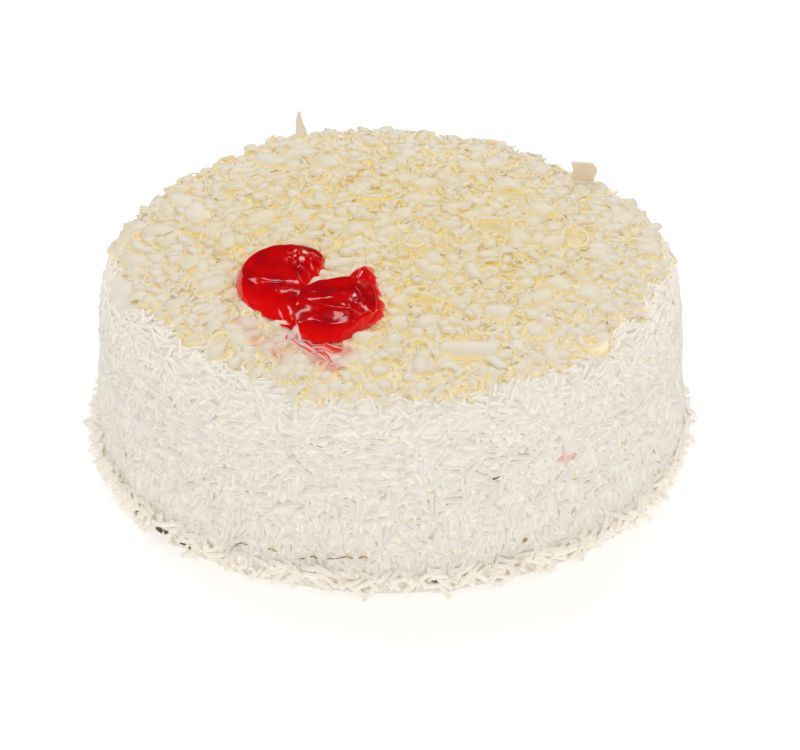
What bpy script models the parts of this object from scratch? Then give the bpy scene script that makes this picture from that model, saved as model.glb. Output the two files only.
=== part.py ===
"""White forest cake: a round cake under white cream, its wall coated with white chocolate
strands, a heap of white chocolate shavings on top, and a dollop of red cherry jelly.

Sizes are in metres. +Z is up, the middle of the cake's underside is the origin, and the
front faces -Y.
"""

import math
import random

import bmesh
import bpy
from mathutils import Euler, Matrix, Vector

# Cream body: a wall that leans in a little, a round shoulder and a low crown
FOOT_RADIUS = 0.1042
WALL_TOP_RADIUS = 0.0985
WALL_TOP = 0.0565
WALL_LEAN = (FOOT_RADIUS - WALL_TOP_RADIUS) / WALL_TOP
SHOULDER = 0.0085
CROWN_RADIUS = WALL_TOP_RADIUS - SHOULDER
CROWN_RISE = 0.0015
WALL_RELIEF = 0.0004
BODY_SEGMENTS = 60
WALL_ROWS = 9
SHOULDER_ROWS = 3
CROWN_ROWS = 5

# Slow waves of the spread cream: their depth, and for each its share, turns, climb per metre and phase
WAVE_DEPTH = 0.0006
WAVES = ((0.5, 3, 0, 0.8), (0.3, 5, 60, 0), (0.2, 11, -90, 0))

# Strands: the coating of the wall, and the ones that slid down to its foot
STRAND_RADIUS = 0.00095
STRAND_LENGTHS = (0.0055, 0.0095)
STRAND_SIDES = 5
STRAND_PROUD = 0.25 * STRAND_RADIUS
STRAND_JITTER = 0.03
WALL_STRANDS = 132
WALL_STRAND_HEIGHTS = (0.0050, 0.0555)
WALL_STRAND_SLANT = 0.75
SHOULDER_STRANDS = 18
SHOULDER_TURNS = (0.02, 0.16)
SHOULDER_SLANT = 0.4
FOOT_STRANDS = 36
FOOT_SWING = 1.0
FOOT_REACH = 0.26
FOOT_HEIGHT = STRAND_RADIUS + 0.0002

# Heap of shavings: a gap over the cream, and a lumpy core that thins out to its edge
GAP = 0.0003
HEAP_RADIUS = 0.0930
HEAP_EDGE = 0.0015
HEAP_MIDDLE = 0.0056
HEAP_RELIEF = 0.0011
HEAP_FLOOR = 0.0550
HEAP_ROWS = 9
HEAP_SEGMENTS = 42

# Where the heap stops short of the rim (direction, half width, depth), and the waves of its edge
HEAP_DIPS = ((math.radians(205), 0.60, 0.0060), (math.radians(-32), 0.45, 0.0045))
HEAP_WAVES = ((7, 1.0, 0.0012), (13, 0.0, 0.0008))

# Curled shavings on the heap
SHAVINGS = 66
SHAVING_THICKNESS = 0.0011
SHAVING_WIDTHS = (0.0060, 0.0098)
SHAVING_RADII = (0.0036, 0.0070)
SHAVING_SWEEPS = (math.radians(100), math.radians(190))
SHAVING_STEPS = 4
SHAVING_TAPER = 0.35
SHAVING_BEDDED = 0.35
SHAVING_PROUD = 0.0045
SHAVING_TILT = 0.22
SHAVING_JITTER = 0.1
SHAVING_INSET = 0.0045
SHAVING_CLEARANCE = 0.0085

# Shavings that stand on end by the rim: name, place, turn, width at foot and tip, height over the heap
STANDING_SHAVINGS = (
    ("pointed", (-0.0345, 0.0850), math.radians(12), (0.0068, 0.0006), 0.0095),
    ("blunt", (0.0710, 0.0520), math.radians(-20), (0.0090, 0.0078), 0.0085),
)
STANDING_FOOT = 0.0014

# Cherry jelly: the level of its lumps, and for each its place and its half sizes
JELLY_FLOOR = 0.0705
JELLY_LUMPS = (
    ((-0.0265, -0.0190), (0.0068, 0.0062, 0.0068)),
    ((-0.0345, -0.0195), (0.0100, 0.0080, 0.0082)),
    ((-0.0395, -0.0300), (0.0115, 0.0125, 0.0086)),
    ((-0.0345, -0.0425), (0.0125, 0.0125, 0.0080)),
    ((-0.0245, -0.0550), (0.0125, 0.0115, 0.0084)),
    ((-0.0145, -0.0530), (0.0112, 0.0120, 0.0092)),
    ((-0.0085, -0.0440), (0.0066, 0.0105, 0.0074)),
    ((-0.0088, -0.0355), (0.0048, 0.0072, 0.0056)),
)
JELLY_GRAIN = 0.0011
JELLY_MELTING = 10
JELLY_FACES_KEPT = 0.11

# Faces that meet at less than this are shaded as one round surface
ROUND_ANGLE = math.radians(35)

random.seed(7)


def clear_scene():
    for thing in list(bpy.data.objects):
        bpy.data.objects.remove(thing)


def material(name, colour, roughness):
    """A plain surface of one colour, with no metal in it."""
    made = bpy.data.materials.new(name)
    made.use_nodes = True
    surface = made.node_tree.nodes["Principled BSDF"]
    surface.inputs["Base Color"].default_value = (*colour, 1)
    surface.inputs["Roughness"].default_value = roughness
    surface.inputs["Metallic"].default_value = 0
    return made


def collection_named(name):
    made = bpy.data.collections.new(name)
    bpy.context.scene.collection.children.link(made)
    return made


def object_of(name, points, faces, collection):
    """A named object from points and faces."""
    mesh = bpy.data.meshes.new(name)
    mesh.from_pydata([tuple(p) for p in points], [], [tuple(f) for f in faces])
    mesh.update()
    made = bpy.data.objects.new(name, mesh)
    collection.objects.link(made)
    return made


def face_outwards(thing):
    """Turns every face of a closed mesh to point out."""
    work = bmesh.new()
    work.from_mesh(thing.data)
    bmesh.ops.recalc_face_normals(work, faces=work.faces)
    work.to_mesh(thing.data)
    work.free()


def split_into_triangles(thing):
    """Splits every face, so that a thing and its raised copy bend at the same lines."""
    work = bmesh.new()
    work.from_mesh(thing.data)
    bmesh.ops.triangulate(work, faces=work.faces)
    work.to_mesh(thing.data)
    work.free()


def polar(angle, radius, height):
    return (radius * math.cos(angle), radius * math.sin(angle), height)


def golden_angle(i):
    """Evenly scattered directions: each step turns by the golden angle."""
    return i * math.pi * (3 - math.sqrt(5))


def solid_of_rings(name, bottom, rings, top, collection):
    """A closed solid from rings of equal length, listed upwards, with a middle point at each end."""
    count = len(rings[0])
    points = [bottom] + [point for ring in rings for point in ring] + [top]
    last = len(points) - 1
    faces = []
    for i in range(count):
        j = (i + 1) % count
        faces.append((0, 1 + j, 1 + i))
        for row in range(len(rings) - 1):
            a = 1 + row * count + i
            b = 1 + row * count + j
            faces.append((a, b, b + count, a + count))
        base = last - count
        faces.append((base + i, base + j, last))
    made = object_of(name, points, faces, collection)
    split_into_triangles(made)
    return made


def wall_radius(angle, height):
    """Radius of the cream wall: a straight lean from foot to top, plus the waves."""
    wave = sum(share * math.sin(turns * angle + climb * height + phase) for share, turns, climb, phase in WAVES)
    return FOOT_RADIUS - WALL_LEAN * height + WAVE_DEPTH * wave


def shoulder_point(angle, turn):
    """(radius, height) on the round shoulder, from turn 0 at the wall to 1 at the crown."""
    bend = turn * math.pi / 2
    centre = wall_radius(angle, WALL_TOP) - SHOULDER
    return centre + SHOULDER * math.cos(bend), WALL_TOP + SHOULDER * math.sin(bend)


def crown_height(radius):
    """Height of the cream's low crown at a radius from the middle."""
    return WALL_TOP + SHOULDER + CROWN_RISE * max(0.0, 1 - (radius / CROWN_RADIUS) ** 2)


def cream_height(angle, radius):
    """Height of the cream's upper side, over the crown and round the shoulder."""
    centre = wall_radius(angle, WALL_TOP) - SHOULDER
    past = min(max(0.0, radius - centre), SHOULDER)
    return crown_height(min(radius, centre)) - (SHOULDER - math.sqrt(SHOULDER**2 - past**2))


def make_body(collection):
    """The cream body: a floor ring, wall rings with a low relief, shoulder rings and crown rings."""
    angles = [2 * math.pi * i / BODY_SEGMENTS for i in range(BODY_SEGMENTS)]
    rings = [[polar(a, wall_radius(a, 0), 0) for a in angles]]
    for k in range(1, WALL_ROWS):
        height = WALL_TOP * k / WALL_ROWS
        ring = []
        for angle in angles:
            dent = random.uniform(-WALL_RELIEF, WALL_RELIEF)
            ring.append(polar(angle, wall_radius(angle, height) + dent, height))
        rings.append(ring)
    for k in range(SHOULDER_ROWS + 1):
        rings.append([polar(a, *shoulder_point(a, k / SHOULDER_ROWS)) for a in angles])
    for k in range(1, CROWN_ROWS):
        radius = CROWN_RADIUS * (1 - k / CROWN_ROWS)
        rings.append([polar(a, radius, crown_height(radius)) for a in angles])
    return solid_of_rings("cake", (0, 0, 0), rings, (0, 0, crown_height(0)), collection)


def strand_mesh(name, length, collection):
    """A strand along X: a few-sided rod with blunt ends."""
    points = []
    for end in (-length / 2, length / 2):
        for i in range(STRAND_SIDES):
            turn = 2 * math.pi * (i + 0.5) / STRAND_SIDES
            points.append((end, STRAND_RADIUS * math.cos(turn), STRAND_RADIUS * math.sin(turn)))
    sides = range(STRAND_SIDES)
    faces = [tuple(reversed(sides)), tuple(i + STRAND_SIDES for i in sides)]
    for i in sides:
        j = (i + 1) % STRAND_SIDES
        faces.append((i, j, j + STRAND_SIDES, i + STRAND_SIDES))
    made = object_of(name, points, faces, collection)
    face_outwards(made)
    return made


def lay(thing, place, outward, slant):
    """Lays a rod that runs along X on a surface at place, turned by slant in that surface."""
    outward = Vector(outward).normalized()
    level = Vector((0, 0, 1)).cross(outward).normalized()
    rise = outward.cross(level)
    along = level * math.cos(slant) + rise * math.sin(slant)
    across = outward.cross(along)
    turn = Matrix((along, across, outward)).transposed().to_4x4()
    thing.data.transform(Matrix.Translation(place) @ turn)


def wall_strands(collection):
    """Strands over the wall, evenly spread, most of them nearer upright than level."""
    lowest, highest = WALL_STRAND_HEIGHTS
    for i in range(WALL_STRANDS):
        angle = golden_angle(i) + random.uniform(-STRAND_JITTER, STRAND_JITTER)
        height = lowest + (highest - lowest) * (i + 0.5) / WALL_STRANDS
        slant = random.gauss(math.pi / 2, WALL_STRAND_SLANT)
        strand = strand_mesh(f"wall_strand_{i}", random.uniform(*STRAND_LENGTHS), collection)
        place = polar(angle, wall_radius(angle, height) + STRAND_PROUD, height)
        lay(strand, place, polar(angle, 1, WALL_LEAN), slant)


def shoulder_strands(collection):
    """Short strands on the round shoulder, below the edge of the shavings."""
    for i in range(SHOULDER_STRANDS):
        angle = golden_angle(i)
        turn = random.uniform(*SHOULDER_TURNS)
        bend = turn * math.pi / 2
        strand = strand_mesh(f"shoulder_strand_{i}", STRAND_LENGTHS[0], collection)
        outward = polar(angle, math.cos(bend), math.sin(bend))
        slant = random.uniform(-SHOULDER_SLANT, SHOULDER_SLANT)
        lay(strand, polar(angle, *shoulder_point(angle, turn)), outward, slant)


def foot_strands(collection):
    """Strands that lie on the floor with one end in the foot of the coating."""
    for i in range(FOOT_STRANDS):
        angle = 2 * math.pi * i / FOOT_STRANDS + random.uniform(-STRAND_JITTER, STRAND_JITTER)
        length = random.uniform(*STRAND_LENGTHS)
        swing = random.uniform(-FOOT_SWING, FOOT_SWING)
        strand = strand_mesh(f"foot_strand_{i}", length, collection)
        out = wall_radius(angle, 0) + FOOT_REACH * length * math.cos(swing)
        place = Matrix.Translation(polar(angle, out, FOOT_HEIGHT))
        strand.data.transform(place @ Matrix.Rotation(angle + swing, 4, "Z"))


def heap_edge_radius(angle):
    """How far the shavings reach: nearly to the rim, less far at the front left and front right."""
    waves = sum(depth * math.sin(turns * angle + phase) for turns, phase, depth in HEAP_WAVES)
    dips = 0.0
    for towards, width, depth in HEAP_DIPS:
        away = math.remainder(angle - towards, 2 * math.pi)
        dips += depth * math.exp(-((away / width) ** 2))
    return HEAP_RADIUS + waves - dips


def heap_bumps(x, y):
    """Lumps of about the shavings' size, from -1 to 1."""
    return math.sin(430 * x + 2 * math.sin(170 * y)) * math.sin(390 * y + 2 * math.sin(150 * x))


def heap_height(angle, radius):
    """Height of the bare heap's upper side, which thins out and calms down towards its edge."""
    share = min(1.0, radius / heap_edge_radius(angle))
    thickness = HEAP_EDGE + (HEAP_MIDDLE - HEAP_EDGE) * (1 - share**3)
    x, y, _ = polar(angle, radius, 0)
    relief = HEAP_RELIEF * (1 - 0.7 * share**4) * heap_bumps(x, y)
    return cream_height(angle, radius) + GAP + thickness + relief


def heap_core(collection):
    """The bare heap. Its flat underside reaches into the cream, whose form is cut out of it later."""
    angles = [2 * math.pi * i / HEAP_SEGMENTS for i in range(HEAP_SEGMENTS)]
    rings = [[polar(a, heap_edge_radius(a), HEAP_FLOOR) for a in angles]]
    for k in range(HEAP_ROWS, 0, -1):
        share = k / HEAP_ROWS
        radii = [share * heap_edge_radius(a) for a in angles]
        rings.append([polar(a, radius, heap_height(a, radius)) for a, radius in zip(angles, radii)])
    return solid_of_rings("shavings", (0, 0, HEAP_FLOOR), rings, (0, 0, heap_height(0, 0)), collection)


def arc_strip(name, radius, width, sweep, collection):
    """A shaving: a strip of even thickness bent round Y through the angle sweep, crown up."""
    points = []
    for k in range(SHAVING_STEPS + 1):
        share = 2 * k / SHAVING_STEPS - 1
        turn = sweep * share / 2
        half = width / 2 * (1 - SHAVING_TAPER * share**2)
        for rim in (radius, radius - SHAVING_THICKNESS):
            x = rim * math.sin(turn)
            z = rim * math.cos(turn) - radius
            points += [(x, -half, z), (x, half, z)]
    last = 4 * SHAVING_STEPS
    faces = [(0, 1, 3, 2), (last, last + 2, last + 3, last + 1)]
    for a in range(0, last, 4):
        for i, j in ((0, 1), (1, 3), (3, 2), (2, 0)):
            faces.append((a + i, a + j, a + 4 + j, a + 4 + i))
    made = object_of(name, points, faces, collection)
    face_outwards(made)
    return made


def near_jelly(x, y, margin):
    """True where a point in plan is within margin of a lump of jelly."""
    return any(
        math.hypot((x - centre[0]) / (half[0] + margin), (y - centre[1]) / (half[1] + margin)) < 1
        for centre, half in JELLY_LUMPS
    )


def curled_shaving(name, angle, radius, collection):
    """One curled shaving on the heap, bedded in it by its two ends."""
    bend = random.uniform(*SHAVING_RADII)
    sweep = random.uniform(*SHAVING_SWEEPS)
    width = random.uniform(*SHAVING_WIDTHS)
    shaving = arc_strip(name, bend, width, sweep, collection)
    rise = bend * (1 - math.cos(sweep / 2))
    proud = min(SHAVING_PROUD, (1 - SHAVING_BEDDED) * rise)
    tilt = Euler((random.gauss(0, SHAVING_TILT), random.gauss(0, SHAVING_TILT), random.uniform(0, 2 * math.pi)))
    place = polar(angle, radius, heap_height(angle, radius) + proud)
    shaving.data.transform(Matrix.Translation(place) @ tilt.to_matrix().to_4x4())


def heap_shavings(collection):
    """Curled shavings over the heap, evenly spread, clear of the jelly."""
    for i in range(SHAVINGS):
        angle = golden_angle(i) + random.uniform(-SHAVING_JITTER, SHAVING_JITTER)
        share = math.sqrt((i + 0.5) / SHAVINGS)
        radius = share * (heap_edge_radius(angle) - SHAVING_INSET)
        x, y, _ = polar(angle, radius, 0)
        if not near_jelly(x, y, SHAVING_CLEARANCE):
            curled_shaving(f"shaving_{i}", angle, radius, collection)


def standing_shavings(collection):
    """The flat shavings that stand on end with their feet in the heap."""
    depth = SHAVING_THICKNESS / 2
    for name, (x, y), turn, widths, height in STANDING_SHAVINGS:
        points = []
        for level, width in zip((-STANDING_FOOT, height), widths):
            for side, push in ((-1, -depth), (1, -depth), (1, depth), (-1, depth)):
                points.append((side * width / 2, push, level))
        faces = [(3, 2, 1, 0), (4, 5, 6, 7)]
        faces += [(i, (i + 1) % 4, (i + 1) % 4 + 4, i + 4) for i in range(4)]
        made = object_of(name, points, faces, collection)
        bed = heap_height(math.atan2(y, x), math.hypot(x, y))
        made.data.transform(Matrix.Translation((x, y, bed)) @ Matrix.Rotation(turn, 4, "Z"))


def apply_modifiers(thing):
    """Swaps a thing's mesh for the one that its modifiers make."""
    graph = bpy.context.evaluated_depsgraph_get()
    finished = bpy.data.meshes.new_from_object(thing.evaluated_get(graph))
    thing.modifiers.clear()
    thing.data = finished


def fuse(thing, collection):
    """Joins a collection's pieces to thing with one Boolean union, then removes them."""
    join = thing.modifiers.new("join", "BOOLEAN")
    join.operation = "UNION"
    join.operand_type = "COLLECTION"
    join.collection = collection
    join.solver = "MANIFOLD"
    apply_modifiers(thing)
    for piece in list(collection.objects):
        bpy.data.objects.remove(piece)
    bpy.data.collections.remove(collection)


def raised_copy(thing):
    """A bare copy of a thing, a gap higher: it shapes the underside of what lies on that thing."""
    copy = bpy.data.objects.new("bed", thing.data.copy())
    copy.data.transform(Matrix.Translation((0, 0, GAP)))
    bpy.context.scene.collection.objects.link(copy)
    return copy


def shape_underside(thing, bed):
    """Cuts away what of a thing would be inside its bed, then removes the bed."""
    cut = thing.modifiers.new("bed", "BOOLEAN")
    cut.operation = "DIFFERENCE"
    cut.object = bed
    cut.solver = "MANIFOLD"
    apply_modifiers(thing)
    bpy.data.objects.remove(bed)


def drop_scraps(thing):
    """Keeps the largest connected piece of a mesh, so that no loose crumb and no sealed hollow is left."""
    work = bmesh.new()
    work.from_mesh(thing.data)
    unseen = set(work.verts)
    groups = []
    while unseen:
        front = [unseen.pop()]
        group = list(front)
        while front:
            near = {edge.other_vert(vert) for vert in front for edge in vert.link_edges} & unseen
            unseen -= near
            front = list(near)
            group += front
        groups.append(group)
    groups.sort(key=len)
    spare = [vert for group in groups[:-1] for vert in group]
    bmesh.ops.delete(work, geom=spare, context="VERTS")
    work.to_mesh(thing.data)
    work.free()


def finish(thing, surface):
    """Tidies a fused thing, gives it its material and shades its round faces smooth."""
    drop_scraps(thing)
    split_into_triangles(thing)
    thing.data.materials.clear()
    thing.data.materials.append(surface)
    thing.data.shade_smooth()
    thing.data.set_sharp_from_angle(angle=ROUND_ANGLE)


def make_cake(scene, surface):
    """The cream body with its coating of strands fused on. Gives the bed that the heap lies on."""
    body = make_body(scene)
    bed = raised_copy(body)
    coating = collection_named("strands")
    wall_strands(coating)
    shoulder_strands(coating)
    foot_strands(coating)
    fuse(body, coating)
    finish(body, surface)
    return bed


def make_heap(scene, surface, cream_bed):
    """The heap with the shavings that show fused on. Gives the bed that the jelly lies on."""
    heap = heap_core(scene)
    bed = raised_copy(heap)
    curls = collection_named("curls")
    heap_shavings(curls)
    standing_shavings(curls)
    fuse(heap, curls)
    shape_underside(heap, cream_bed)
    finish(heap, surface)
    return bed


def lump(name, centre, half, collection):
    """An egg-shaped lump of jelly."""
    work = bmesh.new()
    bmesh.ops.create_icosphere(work, subdivisions=2, radius=1)
    mesh = bpy.data.meshes.new(name)
    work.to_mesh(mesh)
    work.free()
    mesh.transform(Matrix.Translation((*centre, JELLY_FLOOR)) @ Matrix.Diagonal((*half, 1)))
    made = bpy.data.objects.new(name, mesh)
    collection.objects.link(made)
    return made


def melt_together(thing):
    """Rounds off the creases between joined lumps, and keeps as few faces as the form needs."""
    grain = thing.modifiers.new("grain", "REMESH")
    grain.mode = "VOXEL"
    grain.voxel_size = JELLY_GRAIN
    melting = thing.modifiers.new("melting", "SMOOTH")
    melting.iterations = JELLY_MELTING
    fewer = thing.modifiers.new("fewer", "DECIMATE")
    fewer.ratio = JELLY_FACES_KEPT
    apply_modifiers(thing)


def make_jelly(scene, surface, heap_bed):
    """The cherry jelly: its lumps joined, and its underside shaped by the heap that it lies on."""
    first, *others = JELLY_LUMPS
    jelly = lump("cherry_jelly", *first, scene)
    lumps = collection_named("lumps")
    for i, (centre, half) in enumerate(others):
        lump(f"lump_{i}", centre, half, lumps)
    fuse(jelly, lumps)
    melt_together(jelly)
    shape_underside(jelly, heap_bed)
    finish(jelly, surface)


def main():
    clear_scene()
    scene = bpy.context.scene.collection
    cream = material("white_cream", (0.90, 0.88, 0.84), 0.55)
    chocolate = material("white_chocolate", (0.88, 0.82, 0.66), 0.45)
    cherry = material("cherry_jelly", (0.62, 0.01, 0.02), 0.12)
    cream_bed = make_cake(scene, cream)
    heap_bed = make_heap(scene, chocolate, cream_bed)
    make_jelly(scene, cherry, heap_bed)


main()
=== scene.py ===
# %% [markdown]
# White forest cake
#
# A round cake stands under white cream. Its wall is coated with white chocolate strands, its top is heaped
# with white chocolate shavings, and a hooked dollop of red cherry jelly lies on the heap. Everything is built
# in metres around the model that the frame loads, with the middle of the cake's underside at the origin, +Z up
# and the front of the cake towards -Y.

# %% Load the frame
import math

import bpy
import numpy as np
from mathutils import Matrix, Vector


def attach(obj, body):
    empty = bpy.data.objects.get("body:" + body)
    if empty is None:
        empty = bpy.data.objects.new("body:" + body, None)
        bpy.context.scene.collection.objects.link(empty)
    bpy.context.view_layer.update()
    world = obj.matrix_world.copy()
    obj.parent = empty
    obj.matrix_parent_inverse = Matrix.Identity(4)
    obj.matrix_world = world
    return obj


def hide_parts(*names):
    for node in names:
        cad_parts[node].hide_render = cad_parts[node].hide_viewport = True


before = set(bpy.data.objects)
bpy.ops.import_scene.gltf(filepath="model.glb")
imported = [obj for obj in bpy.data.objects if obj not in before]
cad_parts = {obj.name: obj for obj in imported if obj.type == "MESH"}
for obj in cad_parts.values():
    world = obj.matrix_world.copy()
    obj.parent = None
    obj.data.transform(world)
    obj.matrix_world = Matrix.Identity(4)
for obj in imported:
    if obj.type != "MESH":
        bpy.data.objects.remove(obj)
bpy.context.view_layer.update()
MM = 0.001

# %% [markdown]
# The camera looks down on the cake by about 32 degrees from some 70 cm away, through a long 90 mm lens, so the
# cake's upright lines stay nearly parallel. The lens, place and pitch were fitted to the photograph's outlines.

# %% Camera
CAMERA_PLACE = (0.003372, -0.608862, 0.395804)
CAMERA_PITCH = math.radians(31.8902)
CAMERA_LENS = 90.0
SENSOR_WIDTH = 36.0


def add_camera():
    data = bpy.data.cameras.new("camera")
    data.lens = CAMERA_LENS
    data.sensor_width = SENSOR_WIDTH
    data.clip_start = 0.01
    camera = bpy.data.objects.new("camera", data)
    camera.location = CAMERA_PLACE
    camera.rotation_euler = (math.pi / 2 - CAMERA_PITCH, 0.0, 0.0)
    bpy.context.collection.objects.link(camera)
    bpy.context.scene.camera = camera


add_camera()
print("camera at", CAMERA_PLACE, "looking down by", round(math.degrees(CAMERA_PITCH), 1), "degrees")

# %% [markdown]
# White food is lit softly from all round, so that its hollows stay bright and only turn a little warmer. A pale
# world does most of that, and a wide lamp above the camera and one overhead give the forms a light side.
# Neither of them is mirrored, and the world is nearly black for mirrored rays, which keeps the wet jelly a deep
# red. Its clear highlights come from three smaller lamps: one high behind like a window, one low behind and one
# at the right. The plain view transform keeps near-white and saturated red as they are.

# %% Lights and view
WORLD_LIGHT = 0.665
WORLD_MIRRORED = 0.015
LAMPS = (
    # name, place, size, power, and whether wet things mirror it
    ("front_lamp", (-0.10, -1.25, 0.95), 1.10, 2.5, False),
    ("top_lamp", (-0.15, 0.20, 1.60), 1.10, 0.7, False),
    ("back_lamp", (0.35, 0.80, 0.85), 0.13, 1.1, True),
    ("window_lamp", (-0.25, 0.55, 1.25), 0.26, 2.0, True),
    ("side_lamp", (0.95, -0.30, 0.70), 0.16, 0.6, True),
)


def light_world():
    world = bpy.data.worlds.new("pale_room")
    bpy.context.scene.world = world
    world.use_nodes = True
    nodes, links = world.node_tree.nodes, world.node_tree.links
    nodes.clear()
    path = nodes.new("ShaderNodeLightPath")
    strength = nodes.new("ShaderNodeMapRange")
    strength.inputs["To Min"].default_value = WORLD_LIGHT
    strength.inputs["To Max"].default_value = WORLD_MIRRORED
    background = nodes.new("ShaderNodeBackground")
    background.inputs["Color"].default_value = (1.0, 0.99, 0.975, 1.0)
    output = nodes.new("ShaderNodeOutputWorld")
    links.new(path.outputs["Is Glossy Ray"], strength.inputs["Value"])
    links.new(strength.outputs["Result"], background.inputs["Strength"])
    links.new(background.outputs["Background"], output.inputs["Surface"])


def aim(thing, place, target):
    """Turns an object so that its -Z axis points from its place to the target."""
    direction = Vector(target) - Vector(place)
    thing.rotation_euler = direction.to_track_quat("-Z", "Y").to_euler()


def add_lamp(name, place, size, power, mirrored):
    data = bpy.data.lights.new(name, "AREA")
    data.shape = "SQUARE"
    data.size = size
    data.energy = power
    lamp = bpy.data.objects.new(name, data)
    lamp.visible_glossy = mirrored
    lamp.location = place
    aim(lamp, place, (0.0, 0.0, 0.05))
    bpy.context.collection.objects.link(lamp)


light_world()
for lamp_facts in LAMPS:
    add_lamp(*lamp_facts)
view = bpy.context.scene.view_settings
view.view_transform = "Standard"
view.look = "None"
view.exposure = 0.0
view.gamma = 1.0
print("lamps", [facts[0] for facts in LAMPS])

# %% [markdown]
# Every new surface is worked out with numpy and then put into a mesh in one go. One helper does that for any
# mix of triangles, quads and larger faces. Numbers that a material needs point by point, such as how deep a
# point lies in the heap, are stored beside the mesh as named attributes.

# %% From arrays to a mesh
def make_piece(name, points, face_groups, material, sharp=None, **attributes):
    """Makes a smooth-shaded object. Edges that turn by more than `sharp` radians stay crisp."""
    corners = np.concatenate([faces.ravel() for faces in face_groups])
    sizes = np.concatenate([np.full(len(faces), faces.shape[1]) for faces in face_groups])
    mesh = bpy.data.meshes.new(name)
    mesh.vertices.add(len(points))
    mesh.vertices.foreach_set("co", np.ascontiguousarray(points, dtype=np.float32).ravel())
    mesh.loops.add(len(corners))
    mesh.loops.foreach_set("vertex_index", corners.astype(np.int32))
    mesh.polygons.add(len(sizes))
    mesh.polygons.foreach_set("loop_start", (np.cumsum(sizes) - sizes).astype(np.int32))
    mesh.update(calc_edges=True)
    mesh.shade_smooth()
    if sharp is not None:
        mesh.set_sharp_from_angle(angle=sharp)
    for label, values in attributes.items():
        stored = mesh.attributes.new(label, "FLOAT", "POINT")
        stored.data.foreach_set("value", np.ascontiguousarray(values, dtype=np.float32).ravel())
    mesh.materials.append(material)
    piece = bpy.data.objects.new(name, mesh)
    bpy.context.collection.objects.link(piece)
    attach(piece, "root")
    triangles = int((sizes - 2).sum())
    print(name, "has", len(points), "points and", triangles, "triangles")
    return piece


def grid_faces(rows, columns, wrap=False):
    """Quads of a grid whose points are numbered row by row. With wrap, the last column joins the first."""
    row, column = np.meshgrid(np.arange(rows - 1), np.arange(columns if wrap else columns - 1), indexing="ij")
    following = (column + 1) % columns
    corners = (row * columns + column, row * columns + following,
               (row + 1) * columns + following, (row + 1) * columns + column)
    return np.stack(corners, axis=-1).reshape(-1, 4)


def repeated(faces, count, points_each):
    """The same faces for `count` pieces that follow one another in one list of points."""
    return (faces[None] + (np.arange(count) * points_each)[:, None, None]).reshape(-1, faces.shape[1])


def ripples(points, wavelength, seed, waves=14):
    """Smooth noise of about -1 to 1: a sum of plane sine waves with drawn directions, lengths and phases."""
    draw = np.random.default_rng(seed)
    directions = draw.normal(size=(waves, points.shape[-1]))
    directions /= np.linalg.norm(directions, axis=1, keepdims=True)
    lengths = wavelength * draw.uniform(0.7, 1.5, waves)
    phases = draw.uniform(0.0, 2.0 * math.pi, waves)
    turns = points @ (directions * (2.0 * math.pi / lengths)[:, None]).T + phases
    return np.sin(turns).sum(axis=-1) / math.sqrt(waves)


def smooth_step(value):
    """0 below 0, 1 above 1, and 3v^2 - 2v^3 between, which starts and ends level."""
    share = np.clip(value, 0.0, 1.0)
    return share * share * (3.0 - 2.0 * share)


def closed_rings(rings, turns):
    """Faces of rings of points that follow one another. The last two points close them: one over the last ring
    and one under the first."""
    column = np.arange(turns)
    following = (column + 1) % turns
    last = (rings - 1) * turns
    over = np.full(turns, rings * turns)
    cap = np.stack((last + column, last + following, over), axis=-1)
    base = np.stack((following, column, over + 1), axis=-1)
    return [grid_faces(rings, turns, wrap=True), cap, base]


def off_line(from_start, run):
    """For places given from the start of a line: how far along its run each lies, from 0 at one end to 1 at the
    other, and its distance from the line."""
    share = np.clip((from_start @ run) / (run @ run), 0.0, 1.0)
    return share, np.linalg.norm(from_start - share[..., None] * run, axis=-1)


def blurred(heights, steps):
    """Each cell becomes the mean of its square of neighbours, twice. Past the end of a row the other end goes
    on."""
    result = heights
    for _ in range(2):
        for axis in (0, 1):
            total = sum(np.roll(result, step, axis) for step in range(-steps, steps + 1))
            result = total / (2 * steps + 1)
    return result


LOOK_ROUND = 8
LOOK_OUT = (0.8 * MM, 1.7 * MM, 3.2 * MM)


def closed_in(height_near, level):
    """How far each place is closed in by what stands round it, from 0 in the open to 1 in a narrow hole: the
    mean, over eight directions, of the sine of the steepest rise seen at three distances. `height_near` gives
    the height of the pile at the places moved by two steps, and `level` is how high the places lie."""
    total = np.zeros(np.shape(level))
    for direction in np.arange(LOOK_ROUND) * math.pi / (0.5 * LOOK_ROUND):
        steepest = np.zeros(np.shape(level))
        for distance in LOOK_OUT:
            rise = height_near(distance * math.cos(direction), distance * math.sin(direction)) - level
            steepest = np.maximum(steepest, rise / np.hypot(rise, distance))
        total += steepest
    return total / LOOK_ROUND


print("a place is closed in by what stands up to", LOOK_OUT[-1] / MM, "mm away")

# %% [markdown]
# A real finish is never one flat colour. Two small node groups carry what the cream, the strands and the
# shavings share. "painted hollow light and shade" paints the light and shade of hollows into the colour: it
# turns a surface from its own colour to a painted hollow colour, by the depth stored on each point. "mottle"
# moves a colour a little lighter and darker in soft patches.

# %% Shared shader groups
def new_group(name, inputs, outputs):
    group = bpy.data.node_groups.new(name, "ShaderNodeTree")
    for direction, sockets in (("INPUT", inputs), ("OUTPUT", outputs)):
        for label, kind in sockets:
            group.interface.new_socket(name=label, in_out=direction, socket_type=kind)
    start = group.nodes.new("NodeGroupInput")
    end = group.nodes.new("NodeGroupOutput")
    return group, start, end


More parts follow.
